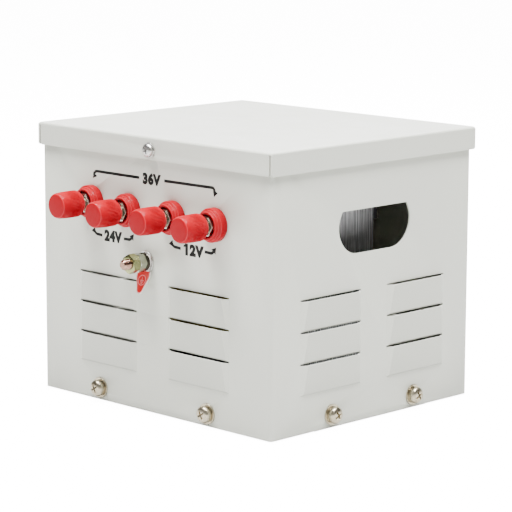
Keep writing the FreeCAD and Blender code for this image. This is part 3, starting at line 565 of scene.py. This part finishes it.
# %% Dress the CAD nodes
finish_rows = [
    (dull_zinc, "base_weld_nuts lid_weld_nuts core_bolts core_nuts core_washers foot_bolts foot_nuts "
                "foot_washers earth_spring_washer"),
    (core_finish, "core_stack"),
    (enamel_finish, "upper_clamp_angles lower_clamp_angles"),
    (nylon_finish, "coil_bobbin"),
    (tape_finish, "coil_wrap"),
    (paper_finish, "winding_insulation"),
    (copper_finish, "primary_winding secondary_winding"),
    (bush_red, "post_inner_bushes post_outer_bushes"),
    (bright_zinc, "post_nuts post_washers lid_screws lid_washers earth_inner_nut earth_flat_washer"),
    (tinned_metal, "post_lugs series_link"),
    (sleeve_finish, "input_leads output_leads"),
    (casing_paint, "case_wrap lid"),
    (tray_paint, "base_tray"),
    (nickel_plate, "post_studs"),
    (screw_zinc, "base_screws base_flat_washers base_spring_washers"),
    (copper_plate, "earth_bolt"),
    (green_zinc, "earth_outer_nut"),
    (tag_red, "earth_tag")]
cad_finishes = {node_name: row_finish for row_finish, row in finish_rows for node_name in row.split()}
for node_name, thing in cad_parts.items():
    if node_name.startswith("knob_insert"):
        finish_here = plain_brass
    elif node_name.startswith("clamp_washer"):
        finish_here = nickel_plate
    elif node_name.startswith("knob_"):
        finish_here = knob_red
    else:
        finish_here = cad_finishes[node_name]
    thing.data.materials.clear()
    thing.data.materials.append(finish_here)
print("Dressed nodes:", len(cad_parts))

# %% [markdown]
# New pieces are drawn in millimetres on a flat wall: X along it, Y up it and Z straight out. One matrix
# then stands them on the wall they belong to. Where each goes is read from the CAD nodes.

# %% Walls and places
front_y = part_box("earth_flat_washer")[1].y
wall_turns = {"front": 0.0, "right": math.pi / 2, "rear": math.pi, "left": -math.pi / 2}
plain_washer_thickness = 1.0
side_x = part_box("base_flat_washers")[1].x - plain_washer_thickness * MM
wall_distance = {"front": -front_y, "rear": -front_y, "right": side_x, "left": side_x}


def wall_matrix(wall, across, up):
    """Takes millimetres drawn on a flat wall to metres on a wall of the casing."""
    return (Matrix.Rotation(wall_turns[wall], 4, "Z")
            @ Matrix.Translation((across * MM, -wall_distance[wall], up * MM))
            @ Matrix.Rotation(math.pi / 2, 4, "X") @ Matrix.Scale(MM, 4))


def middle_of(node):
    """The middle of a CAD node's box."""
    low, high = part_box(node)
    return (low + high) / 2


post_names = ["output_1", "output_2", "output_3", "output_4", "input_1", "input_2"]
post_matrices = {}
for post_name in post_names:
    centre = middle_of("knob_" + post_name)
    wall = "front" if post_name.startswith("output") else "rear"
    across = centre.x / MM if wall == "front" else -centre.x / MM
    post_matrices[post_name] = wall_matrix(wall, across, centre.z / MM)
print("Front wall at y", round(front_y, 4), "side wall at x", round(side_x, 4))

# %% [markdown]
# Turned pieces are a profile that spins round the Z axis. The profile is a few (radius, height) points.
# The seam and the poles close when the doubles merge, and the faces are then turned outwards.

# %% Turned pieces


def spin(bm, profile, steps=64):
    """Spins (radius, height) points round Z into a closed skin and gives its vertices."""
    before = set(bm.verts)
    points = [bm.verts.new((radius, 0.0, height)) for radius, height in profile]
    edges = [bm.edges.new(pair) for pair in zip(points, points[1:])]
    bmesh.ops.spin(bm, geom=points + edges, cent=(0, 0, 0), axis=(0, 0, 1), dvec=(0, 0, 0),
                   angle=2 * math.pi, steps=steps, use_merge=True, use_duplicate=False)
    made = [vertex for vertex in bm.verts if vertex not in before]
    bmesh.ops.remove_doubles(bm, verts=made, dist=0.0005)
    made = [vertex for vertex in bm.verts if vertex not in before]
    faces = list({face for vertex in made for face in vertex.link_faces})
    bmesh.ops.recalc_face_normals(bm, faces=faces)
    return made


def ring_profile(inner, outer, low, high, edge):
    """The closed section of a washer with eased outer corners."""
    return [(inner, low), (outer - edge, low), (outer, low + edge), (outer, high - edge),
            (outer - edge, high), (inner, high), (inner, low)]


def finish_piece(bm, name, material, body, slot, replaced=(), sharp=35.0, matrices=None):
    """Makes an object of a bmesh drawn in millimetres, once for each matrix, and rides it on a body."""
    drawn = bpy.data.meshes.new(name + " drawn")
    bm.to_mesh(drawn)
    bm.free()
    together = bmesh.new()
    for matrix in matrices or [Matrix.Scale(MM, 4)]:
        copy = drawn.copy()
        copy.transform(matrix)
        together.from_mesh(copy)
        bpy.data.meshes.remove(copy)
    mesh = bpy.data.meshes.new(name)
    together.to_mesh(mesh)
    together.free()
    bpy.data.meshes.remove(drawn)
    for face in mesh.polygons:
        face.use_smooth = True
    mesh.set_sharp_from_angle(angle=math.radians(sharp))
    mesh.materials.append(material)
    piece = bpy.data.objects.new(name, mesh)
    bpy.context.scene.collection.objects.link(piece)
    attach(piece, body)
    if replaced:
        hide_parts(*replaced)
    print(name, "faces:", len(mesh.polygons))
    return piece


def turned_piece(profile, steps, *rest, **more):
    """A piece that is one closed profile spun round Z; the rest is as for finish_piece."""
    bm = bmesh.new()
    spin(bm, profile, steps)
    return finish_piece(bm, *rest, **more)


# %% [markdown]
# A bare CAD sheet has knife edges. Real folded sheet catches light on every edge, so the casing, the lid,
# the tray and the tag are copies of their CAD meshes with merged vertices and a small bevel.

# %% Sheet pieces with soft edges


def soften(node, name, material, slot, width):
    """A copy of a CAD node with merged vertices and bevelled edges, which stands for it."""
    bm = bmesh.new()
    bm.from_mesh(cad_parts[node].data)
    bmesh.ops.remove_doubles(bm, verts=bm.verts, dist=0.00001)
    bmesh.ops.dissolve_limit(bm, angle_limit=math.radians(0.5), use_dissolve_boundaries=False,
                             verts=bm.verts, edges=bm.edges)
    bmesh.ops.transform(bm, matrix=Matrix.Scale(1 / MM, 4), verts=bm.verts)
    piece = finish_piece(bm, name, material, "casing", slot, (node,), sharp=180.0)
    bevel = piece.modifiers.new("soft edges", "BEVEL")
    bevel.width = width * MM
    bevel.segments = 2
    bevel.limit_method = "ANGLE"
    bevel.angle_limit = math.radians(20.0)
    bevel.harden_normals = True


soften("case_wrap", "casing_sheet", casing_paint, "casing_paint", 0.35)
soften("lid", "lid_sheet", casing_paint, "casing_paint", 0.3)
soften("base_tray", "tray_sheet", tray_paint, "tray_zinc", 0.25)

# %% [markdown]
# A cross recess, a split or a chamfered hexagon is one solid cut by another. The cut is done once, on two
# meshes drawn in millimetres, and gives a bmesh back.

# %% Cutting one solid with another


def loose_object(bm):
    """A bmesh as an object for a moment."""
    mesh = bpy.data.meshes.new("loose")
    bm.to_mesh(mesh)
    bm.free()
    thing = bpy.data.objects.new("loose", mesh)
    bpy.context.scene.collection.objects.link(thing)
    return thing


def combine(first, second, operation):
    """The difference or the overlap of two bmeshes, as a new bmesh."""
    body, tool = loose_object(first), loose_object(second)
    cut = body.modifiers.new("cut", "BOOLEAN")
    cut.operation = operation
    cut.solver = "EXACT"
    cut.object = tool
    bpy.context.view_layer.update()
    evaluated = body.evaluated_get(bpy.context.evaluated_depsgraph_get())
    result = bmesh.new()
    result.from_mesh(evaluated.to_mesh())
    evaluated.to_mesh_clear()
    for thing in (body, tool):
        mesh = thing.data
        bpy.data.objects.remove(thing)
        bpy.data.meshes.remove(mesh)
    return result


def hexagon(bm, flats, low, high, turn=0.0):
    """A hexagonal bar along Z. With no turn its corners point along X."""
    corner = flats / math.sqrt(3.0)
    bmesh.ops.create_cone(bm, cap_ends=True, segments=6, radius1=corner, radius2=corner, depth=high - low,
                          matrix=Matrix.Translation((0, 0, (low + high) / 2))
                          @ Matrix.Rotation(turn + math.pi / 6, 4, "Z"))


def hexagon_nut(flats, hole, low, high, turn, chamfer=0.55):
    """A nut: a hexagonal bar cut to a turned barrel whose rims are chamfered, with a bore."""
    bar = bmesh.new()
    hexagon(bar, flats, low, high, turn)
    corner = flats / math.sqrt(3.0) + 0.02
    barrel = bmesh.new()
    spin(barrel, [(hole, low), (flats / 2 - 0.15, low), (corner, low + chamfer), (corner, high - chamfer),
                  (flats / 2 - 0.15, high), (hole + 0.4, high), (hole, high - 0.4), (hole, low)], 72)
    return combine(bar, barrel, "INTERSECT")


# %% [markdown]
# A thread is a turned rod whose skin goes in and out along a helix. The rod gets eight levels to a turn,
# and every vertex then moves towards the axis by its place in the thread.

# %% Threaded rods


def threaded_rod(bm, radius, bottom, low, high, tip, chamfer, pitch, depth=0.55, steps=36):
    """A rod from bottom to tip, threaded between low and high, with a chamfered tip."""
    levels = int((high - low) / pitch * 8)
    profile = [(0.0, bottom), (radius, bottom), (radius, low)]
    profile += [(radius, low + (high - low) * i / levels) for i in range(1, levels + 1)]
    profile += [(radius - chamfer, tip), (0.0, tip)]
    made = spin(bm, profile, steps)
    for vertex in made:
        if low < vertex.co.z < high and vertex.co.xy.length > radius * 0.9:
            phase = (vertex.co.z / pitch - math.atan2(vertex.co.y, vertex.co.x) / (2 * math.pi)) % 1.0
            sink = depth * abs(2.0 * phase - 1.0)
            ends = min(1.0, (vertex.co.z - low) / pitch, (high - vertex.co.z) / pitch + 0.4)
            scale = (radius - sink * max(ends, 0.0)) / radius
            vertex.co.x *= scale
            vertex.co.y *= scale
    return made


# %% [markdown]
# The binding posts are what the eye goes to. Outside the wall each has a stepped phenolic bush, pressed in
# a die and so with small rounded rims, and a stud with a hexagonal collar that sits in the bush's mouth.
# The two middle posts carry a link inside, so their studs reach further in.

# %% Bushes and studs
bush_profile = [(3.35, -2.5), (5.8, -2.5), (5.8, 0.0), (9.35, 0.0), (9.65, 0.3), (9.65, 4.2), (9.55, 4.5),
                (9.3, 4.68), (8.75, 4.7), (8.65, 4.8), (8.65, 5.9), (8.52, 6.12), (8.3, 6.2), (8.08, 6.2),
                (8.0, 6.3), (8.0, 7.4), (7.9, 7.65), (7.65, 7.8), (6.95, 7.8), (6.75, 7.68), (6.7, 7.4),
                (6.7, 5.0), (3.35, 5.0), (3.35, -2.5)]
turned_piece(bush_profile, 96, "outer_bushes", bush_red, "casing", "red_bush", ("post_outer_bushes",),
             sharp=50.0, matrices=list(post_matrices.values()))
stud_radius = 3.0
stud_tip = 22.4
stud_thread = (8.9, 21.6)
thread_pitch = 1.0
collar_flats = 10.7
collar_low, collar_top = 5.0, 8.8
linked = ("output_2", "output_3")


def stud(inner_end):
    """A threaded stud with its collar, its rim chamfered all round."""
    bm = bmesh.new()
    threaded_rod(bm, stud_radius, inner_end, *stud_thread, stud_tip, 0.7, thread_pitch)
    hexagon(bm, collar_flats, collar_low, collar_top)
    rim = [edge for edge in bm.edges
           if all(abs(v.co.z - collar_top) < 0.001 and v.co.xy.length > 2 * stud_radius for v in edge.verts)]
    bmesh.ops.bevel(bm, geom=rim, offset=0.45, offset_type="OFFSET", segments=2, profile=0.5,
                    affect="EDGES", material=-1)
    return bm


for name, inner_end, posts in (("plain_studs", -19.3, [n for n in post_names if n not in linked]),
                               ("linked_studs", -20.8, linked)):
    finish_piece(stud(inner_end), name, nickel_plate, "casing", "nickel_brass", ("post_studs",),
                 matrices=[post_matrices[n] for n in posts])

# %% [markdown]
# Each knob is moulded round a threaded insert. It is widest near its rear, tapers a little towards the
# face, and has fine ribs along the barrel that fade out before the face, for the draft of the mould.

# %% Knobs and clamp washers
knob_profile = [(0.0, 28.2), (5.9, 28.2), (6.35, 28.14), (6.75, 27.92), (7.02, 27.6), (7.22, 27.15),
                (7.38, 26.5), (7.5, 25.6), (7.6, 24.2), (7.68, 22.4), (7.72, 20.4), (7.75, 18.2),
                (7.75, 16.0), (7.75, 14.2), (7.72, 13.5), (7.6, 13.1), (7.3, 12.7), (6.85, 12.1),
                (6.45, 11.55), (6.25, 11.25), (6.1, 11.2), (5.6, 11.2), (5.5, 11.3), (5.5, 11.8),
                (5.3, 11.8), (5.3, 21.2), (3.05, 21.2), (3.05, 24.5), (0.0, 24.5)]
rib_count = 60
rib_depth = 0.3
rib_low, rib_high = 13.4, 26.2
barrel_radius = 7.7
pressing_washer = ring_profile(3.1, 5.2, 10.7, 11.7, 0.15)


def ribbed_knob():
    """The knob's skin, its barrel ribbed and both ends of the ribs faded out."""
    bm = bmesh.new()
    for vertex in spin(bm, knob_profile, rib_count * 4):
        height = vertex.co.z
        if rib_low < height < rib_high and vertex.co.xy.length > 7.0:
            fade = min(1.0, (height - rib_low) / 1.2, (rib_high - height) / 5.0)
            wave = 0.5 - 0.5 * math.cos(rib_count * math.atan2(vertex.co.y, vertex.co.x))
            scale = 1.0 - rib_depth * fade * wave / barrel_radius
            vertex.co.x *= scale
            vertex.co.y *= scale
    return bm


for name in post_names:
    finish_piece(ribbed_knob(), "ribbed_knob_" + name, knob_red, "turning_knob_" + name, "red_knob",
                 ("knob_" + name,), sharp=60.0, matrices=[post_matrices[name]])
    turned_piece(pressing_washer, 64, "pressing_washer_" + name, nickel_plate, "washer_" + name,
                 "nickel_brass", ("clamp_washer_" + name,), matrices=[post_matrices[name]])

# %% [markdown]
# Round the foot, eight pan-head screws with a cross recess hold the casing to the tray. Under each head
# is a split spring washer and a wide flat washer. The recess is stamped: two tapered wings that cross.

# %% Screws and washers round the foot and under the lid
foot_screw_height = 8.0
foot_screw_offsets = {"front": 45.0, "rear": 45.0, "right": 34.3, "left": 34.3}
lid_screw_height = 152.7
foot_matrices = [wall_matrix(wall, side * offset, foot_screw_height)
                 for wall, offset in foot_screw_offsets.items() for side in (-1, 1)]
lid_matrices = [wall_matrix(wall, 0.0, lid_screw_height) for wall in ("front", "rear")]
spring_rise = 0.25
pan_crown = ((1.0, 0.08), (1.0, 0.28), (0.97, 0.46), (0.9, 0.63), (0.78, 0.79), (0.6, 0.91), (0.36, 0.98))


def recess_wing(head_radius, top, head_height, turn):
    """One wing of the recess: a thin wedge that is longest at the top of the head."""
    wing = bmesh.new()
    bmesh.ops.create_cone(wing, cap_ends=True, segments=4, radius1=head_radius * 0.3,
                          radius2=head_radius * 1.05, depth=head_height * 0.8,
                          matrix=Matrix.Translation((0, 0, top - head_height * 0.2))
                          @ Matrix.Rotation(math.pi / 4, 4, "Z"))
    bmesh.ops.scale(wing, vec=(1.0, 0.2, 1.0), verts=wing.verts)
    bmesh.ops.rotate(wing, cent=(0, 0, 0), matrix=Matrix.Rotation(turn, 3, "Z"), verts=wing.verts)
    return wing


def pan_screw(radius, head_radius, head_height, seat, length, turn):
    """A pan-head screw with a cross recess."""
    profile = [(0.0, seat - length), (radius - 0.4, seat - length), (radius, seat - length + 0.4),
               (radius, seat), (head_radius - 0.25, seat)]
    profile += [(head_radius * share, seat + head_height * up) for share, up in pan_crown]
    top = seat + head_height
    profile += [(0.0, top)]
    head = bmesh.new()
    spin(head, profile, 64)
    for quarter in (0.0, math.pi / 2):
        head = combine(head, recess_wing(head_radius, top, head_height, turn + quarter), "DIFFERENCE")
    return head


def split_ring(inner, outer, low, high, gap, turn):
    """A spring washer: a square section spun nearly all the way round, rising a little."""
    bm = bmesh.new()
    section = [bm.verts.new((r, 0.0, z)) for r, z in
               ((inner, low), (outer, low), (outer, high - spring_rise), (inner, high - spring_rise))]
    face = bm.faces.new(section)
    bmesh.ops.rotate(bm, cent=(0, 0, 0), matrix=Matrix.Rotation(turn + gap / 2, 3, "Z"), verts=section)
    steps = 48
    bmesh.ops.spin(bm, geom=[face], cent=(0, 0, 0), axis=(0, 0, 1), dvec=(0, 0, spring_rise / steps),
                   angle=2 * math.pi - gap, steps=steps, use_merge=False, use_duplicate=False)
    bmesh.ops.recalc_face_normals(bm, faces=bm.faces)
    return bm


finish_piece(pan_screw(2.5, 4.8, 3.2, 2.3, 12.0, 0.5), "foot_screws", screw_zinc, "casing", "screw_zinc",
             ("base_screws",), matrices=foot_matrices)
turned_piece(ring_profile(2.8, 6.0, 0.0, 1.0, 0.14), 72, "foot_flat_washers", screw_zinc, "casing",
             "screw_zinc", ("base_flat_washers",), matrices=foot_matrices)
finish_piece(split_ring(2.8, 4.7, 1.0, 2.3, 0.22, 1.0), "foot_spring_washers", screw_zinc,
             "casing", "screw_zinc", ("base_spring_washers",), matrices=foot_matrices)
finish_piece(pan_screw(2.0, 3.9, 2.4, 2.6, 8.0, 0.3), "lid_pan_screws", bright_zinc, "casing", "screw_zinc",
             ("lid_screws",), matrices=lid_matrices)
turned_piece(ring_profile(2.3, 4.5, 1.8, 2.6, 0.12), 64, "lid_screw_washers", bright_zinc, "casing",
             "screw_zinc", ("lid_washers",), matrices=lid_matrices)

# %% [markdown]
# The earth bolt comes out through the wall with a flat washer, the tag, a dark spring washer and two nuts.
# Its copper plating and the greenish nut tell it from the other fasteners.

# %% Earth bolt
earth_middle = middle_of("earth_bolt")
earth_matrix = wall_matrix("front", earth_middle.x / MM, earth_middle.z / MM)
earth_radius = 3.0
nut_flats = 10.0
nut_bore = 2.75
wall_inside = -1.2
nut_faces = (4.2, 9.2, 14.2)
bm = bmesh.new()
threaded_rod(bm, earth_radius, wall_inside, 2.0, 17.8, 18.8, 1.0, thread_pitch, 0.5, 48)
hexagon(bm, nut_flats, wall_inside - 4.0, wall_inside)
finish_piece(bm, "earth_stud", copper_plate, "casing", "earth_copper", ("earth_bolt",),
             matrices=[earth_matrix])
finish_piece(hexagon_nut(nut_flats, nut_bore, *nut_faces[:2], 0.0), "earth_locking_nut", pale_zinc,
             "casing", "earth_zinc", ("earth_inner_nut",), matrices=[earth_matrix])
finish_piece(hexagon_nut(nut_flats, nut_bore, *nut_faces[1:], math.pi / 6), "earth_front_nut", green_zinc,
             "casing", "earth_yellow_zinc", ("earth_outer_nut",), matrices=[earth_matrix])
turned_piece(ring_profile(3.3, 6.2, 0.0, 1.2, 0.15), 72, "earth_wide_washer", bright_zinc, "casing",
             "earth_zinc", ("earth_flat_washer",), matrices=[earth_matrix])
finish_piece(split_ring(3.3, 5.4, 2.0, nut_faces[0], 0.2, 1.0), "earth_split_washer", black_oxide,
             "casing", "earth_zinc", ("earth_spring_washer",), matrices=[earth_matrix])

# %% [markdown]
# Flat lines and words lie just above a surface: the print on the front wall, and the rim and the sign on
# the earth tag. Lines are curves with a round section that is pressed flat. Words are text made solid.

# %% Flat lines and words
print_thickness = 0.06


def as_bmesh(curve_data, matrix):
    """A curve or a text as a bmesh, moved by a matrix."""
    thing = bpy.data.objects.new("outline", curve_data)
    bpy.context.scene.collection.objects.link(thing)
    bpy.context.view_layer.update()
    evaluated = thing.evaluated_get(bpy.context.evaluated_depsgraph_get())
    bm = bmesh.new()
    bm.from_mesh(evaluated.to_mesh())
    evaluated.to_mesh_clear()
    bpy.data.objects.remove(thing)
    bpy.data.curves.remove(curve_data)
    bmesh.ops.transform(bm, matrix=matrix, verts=bm.verts)
    bmesh.ops.remove_doubles(bm, verts=bm.verts, dist=0.0001)
    bmesh.ops.recalc_face_normals(bm, faces=bm.faces)
    return bm


def flat_line(points, width, height, closed=False):
    """A line through points on a flat surface, with a low rounded section."""
    data = bpy.data.curves.new("line", "CURVE")
    data.dimensions = "3D"
    data.bevel_depth = width / 2
    data.bevel_resolution = 3
    data.use_fill_caps = True
    spline = data.splines.new("POLY")
    spline.points.add(len(points) - 1)
    for point, place in zip(spline.points, points):
        point.co = (*place, 0.0, 1.0)
    spline.use_cyclic_u = closed
    return as_bmesh(data, Matrix.Diagonal((1.0, 1.0, height / width * 2.0, 1.0)))


def arc_points(centre, radius, start, end, steps=10):
    """Points along an arc, with the angles in degrees."""
    return [(centre[0] + radius * math.cos(math.radians(start + (end - start) * i / steps)),
             centre[1] + radius * math.sin(math.radians(start + (end - start) * i / steps)))
            for i in range(steps + 1)]


def arrow_head(tip, turn, size=3.7):
    """A small solid triangle, its point at the tip, turned from pointing up by an angle in degrees."""
    bm = bmesh.new()
    bmesh.ops.create_cone(bm, cap_ends=True, segments=3, radius1=size / 1.6, radius2=size / 1.6,
                          depth=print_thickness)
    bmesh.ops.rotate(bm, cent=(0, 0, 0), matrix=Matrix.Rotation(math.pi / 2, 3, "Z"), verts=bm.verts)
    reach = max(vertex.co.y for vertex in bm.verts)
    bmesh.ops.translate(bm, vec=(0.0, -reach, 0.0), verts=bm.verts)
    bmesh.ops.rotate(bm, cent=(0, 0, 0), matrix=Matrix.Rotation(math.radians(turn), 3, "Z"), verts=bm.verts)
    bmesh.ops.translate(bm, vec=(*tip, print_thickness / 2), verts=bm.verts)
    return bm


def word(text, left, bottom, width, height, weight=0.075):
    """Bold condensed letters that fill a box."""
    data = bpy.data.curves.new("word", "FONT")
    data.body = text
    data.extrude = 0.02
    data.bevel_depth = weight
    data.bevel_resolution = 0
    data.space_character = 1.12
    bm = as_bmesh(data, Matrix.Identity(4))
    low = Vector([min(vertex.co[i] for vertex in bm.verts) for i in range(3)])
    high = Vector([max(vertex.co[i] for vertex in bm.verts) for i in range(3)])
    span = high - low
    place = (Matrix.Translation((left, bottom, print_thickness / 2))
             @ Matrix.Diagonal((width / span.x, height / span.y, print_thickness / span.z, 1.0))
             @ Matrix.Translation((-low.x, -low.y, 0.0)))
    bmesh.ops.transform(bm, matrix=place, verts=bm.verts)
    return bm


def gathered(pieces):
    """Several bmeshes as one."""
    whole = bmesh.new()
    for piece in pieces:
        mesh = bpy.data.meshes.new("part")
        piece.to_mesh(mesh)
        piece.free()
        whole.from_mesh(mesh)
        bpy.data.meshes.remove(mesh)
    return whole


# %% [markdown]
# The front wall is printed in black: each voltage stands between two lines that point to its pair of
# posts. The long lines of the highest one turn down at their ends, the short hooks of the others turn up.

# %% Print on the front wall
line_width = 1.7
line_height = print_thickness / 2
print_shift = (1.15, 1.3)
left_edge = -95.0


def on_panel(x, y):
    """A place measured from the wall's left edge and foot, in the wall's own millimetres."""
    return (left_edge + x + print_shift[0], y + print_shift[1])


def bent_line(points, radius):
    """Straight runs with their corners rounded off."""
    corners = [Vector(on_panel(*point)) for point in points]
    path = [corners[0]]
    for before, corner, after in zip(corners, corners[1:], corners[2:]):
        start = corner + (before - corner).normalized() * radius
        end = corner + (after - corner).normalized() * radius
        for i in range(7):
            t = i / 6
            path.append(start * (1 - t) ** 2 + corner * 2 * t * (1 - t) + end * t ** 2)
    path.append(corners[-1])
    return flat_line([tuple(point) for point in path], line_width, line_height)


def pointer(points, tip, turn):
    """A bent line with an arrow head past its end."""
    return [bent_line(points, 1.6), arrow_head(on_panel(*tip), turn)]


print_pieces = [
    word("36V", *on_panel(86.2, 131.3), 15.2, 6.9),
    word("24V", *on_panel(53.1, 94.5), 15.4, 6.9),
    word("12V", *on_panel(121.2, 94.6), 15.0, 6.9),
    flat_line([on_panel(119.9, 99.4), on_panel(121.6, 100.9)], 1.1, line_height),
]
for points, tip, turn in (
        ([(83.4, 134.6), (45.4, 134.6), (44.8, 132.4)], (44.6, 130.0), 172.0),
        ([(104.1, 134.9), (144.2, 135.2), (145.0, 132.6)], (145.3, 130.2), 190.0),
        ([(51.4, 97.5), (45.6, 97.9), (44.3, 100.2)], (44.0, 101.6), 8.0),
        ([(69.9, 97.7), (75.8, 97.8), (77.0, 100.0)], (77.4, 101.6), -8.0),
        ([(117.5, 98.0), (111.4, 98.4), (110.1, 100.4)], (109.7, 101.9), 8.0),
        ([(136.8, 98.6), (143.0, 98.3), (144.4, 100.8)], (144.8, 102.3), -8.0)):
    print_pieces += pointer(points, tip, turn)
finish_piece(gathered(print_pieces), "panel_print", print_black, "casing", "clamp_paint", sharp=180.0,
             matrices=[wall_matrix("front", 0.0, 0.0)])

# %% [markdown]
# The earth tag is a plated leaf with red enamel on the front only: its eye, its cut edges and its back are
# bare. A pale rim follows its edge, and a ring with the general sign for earth stands below the eye.

# %% Earth tag


def make_tag_finish(eye_bottom):
    """Red enamel below the eye on what faces the front, and pale plating elsewhere."""
    finish = Finish("tag enamel", (0.70, 0.66, 0.62), (0.84, 0.80, 0.76), 120.0, 1.2)
    tree = finish.tree
    front = math_node(tree, "LESS_THAN", parts_of(tree, facing_of(tree))["Y"], -0.8)
    below = math_node(tree, "LESS_THAN", parts_of(tree, place_on(tree))["Z"], eye_bottom)
    enamelled = math_node(tree, "MULTIPLY", front, below)
    red = mix_colours(tree, finish.mottle, (0.52, 0.006, 0.006), (0.66, 0.010, 0.009))
    finish.blend(enamelled, red)
    finish.roughness(0.25, 0.4)
    finish.grain(600.0, 0.3)
    return finish.set(Coat_Weight=0.3).done(0.00003)


tag_eye_radius = 5.2
tag_finish = make_tag_finish(earth_middle.z - tag_eye_radius * MM)
soften("earth_tag", "tag_sheet", tag_finish, "tag_red", 0.12)
tag_lean = math.radians(20.0)
leaf_matrix = (earth_matrix @ Matrix.Translation((0.0, -5.6, 1.2)) @ Matrix.Rotation(-tag_lean, 4, "X")
               @ Matrix.Translation((0.0, 0.0, 0.8)))
leaf_edge = [(4.2, -0.6)] + arc_points((2.35, -2.4), 2.5, 25, -25, 4)
leaf_edge += arc_points((0.0, -10.7), 2.1, -18, -162, 10)
leaf_edge += arc_points((-2.35, -2.4), 2.5, 205, 155, 4) + [(-4.2, -0.6)]
sign_middle = (0.0, -5.4)
sign_height = 0.05
sign_pieces = [flat_line(leaf_edge, 0.5, sign_height),
               flat_line(arc_points(sign_middle, 2.9, 0, 360, 40)[:-1], 0.42, sign_height, closed=True),
               flat_line([(0.0, -3.4), (0.0, -5.6)], 0.36, sign_height)]
sign_pieces += [flat_line([(-half, y), (half, y)], 0.42, sign_height)
                for half, y in ((1.7, -5.6), (1.1, -6.5), (0.5, -7.3))]
finish_piece(gathered(sign_pieces), "tag_sign", sign_pink, "casing", "tag_red", sharp=180.0,
             matrices=[leaf_matrix])
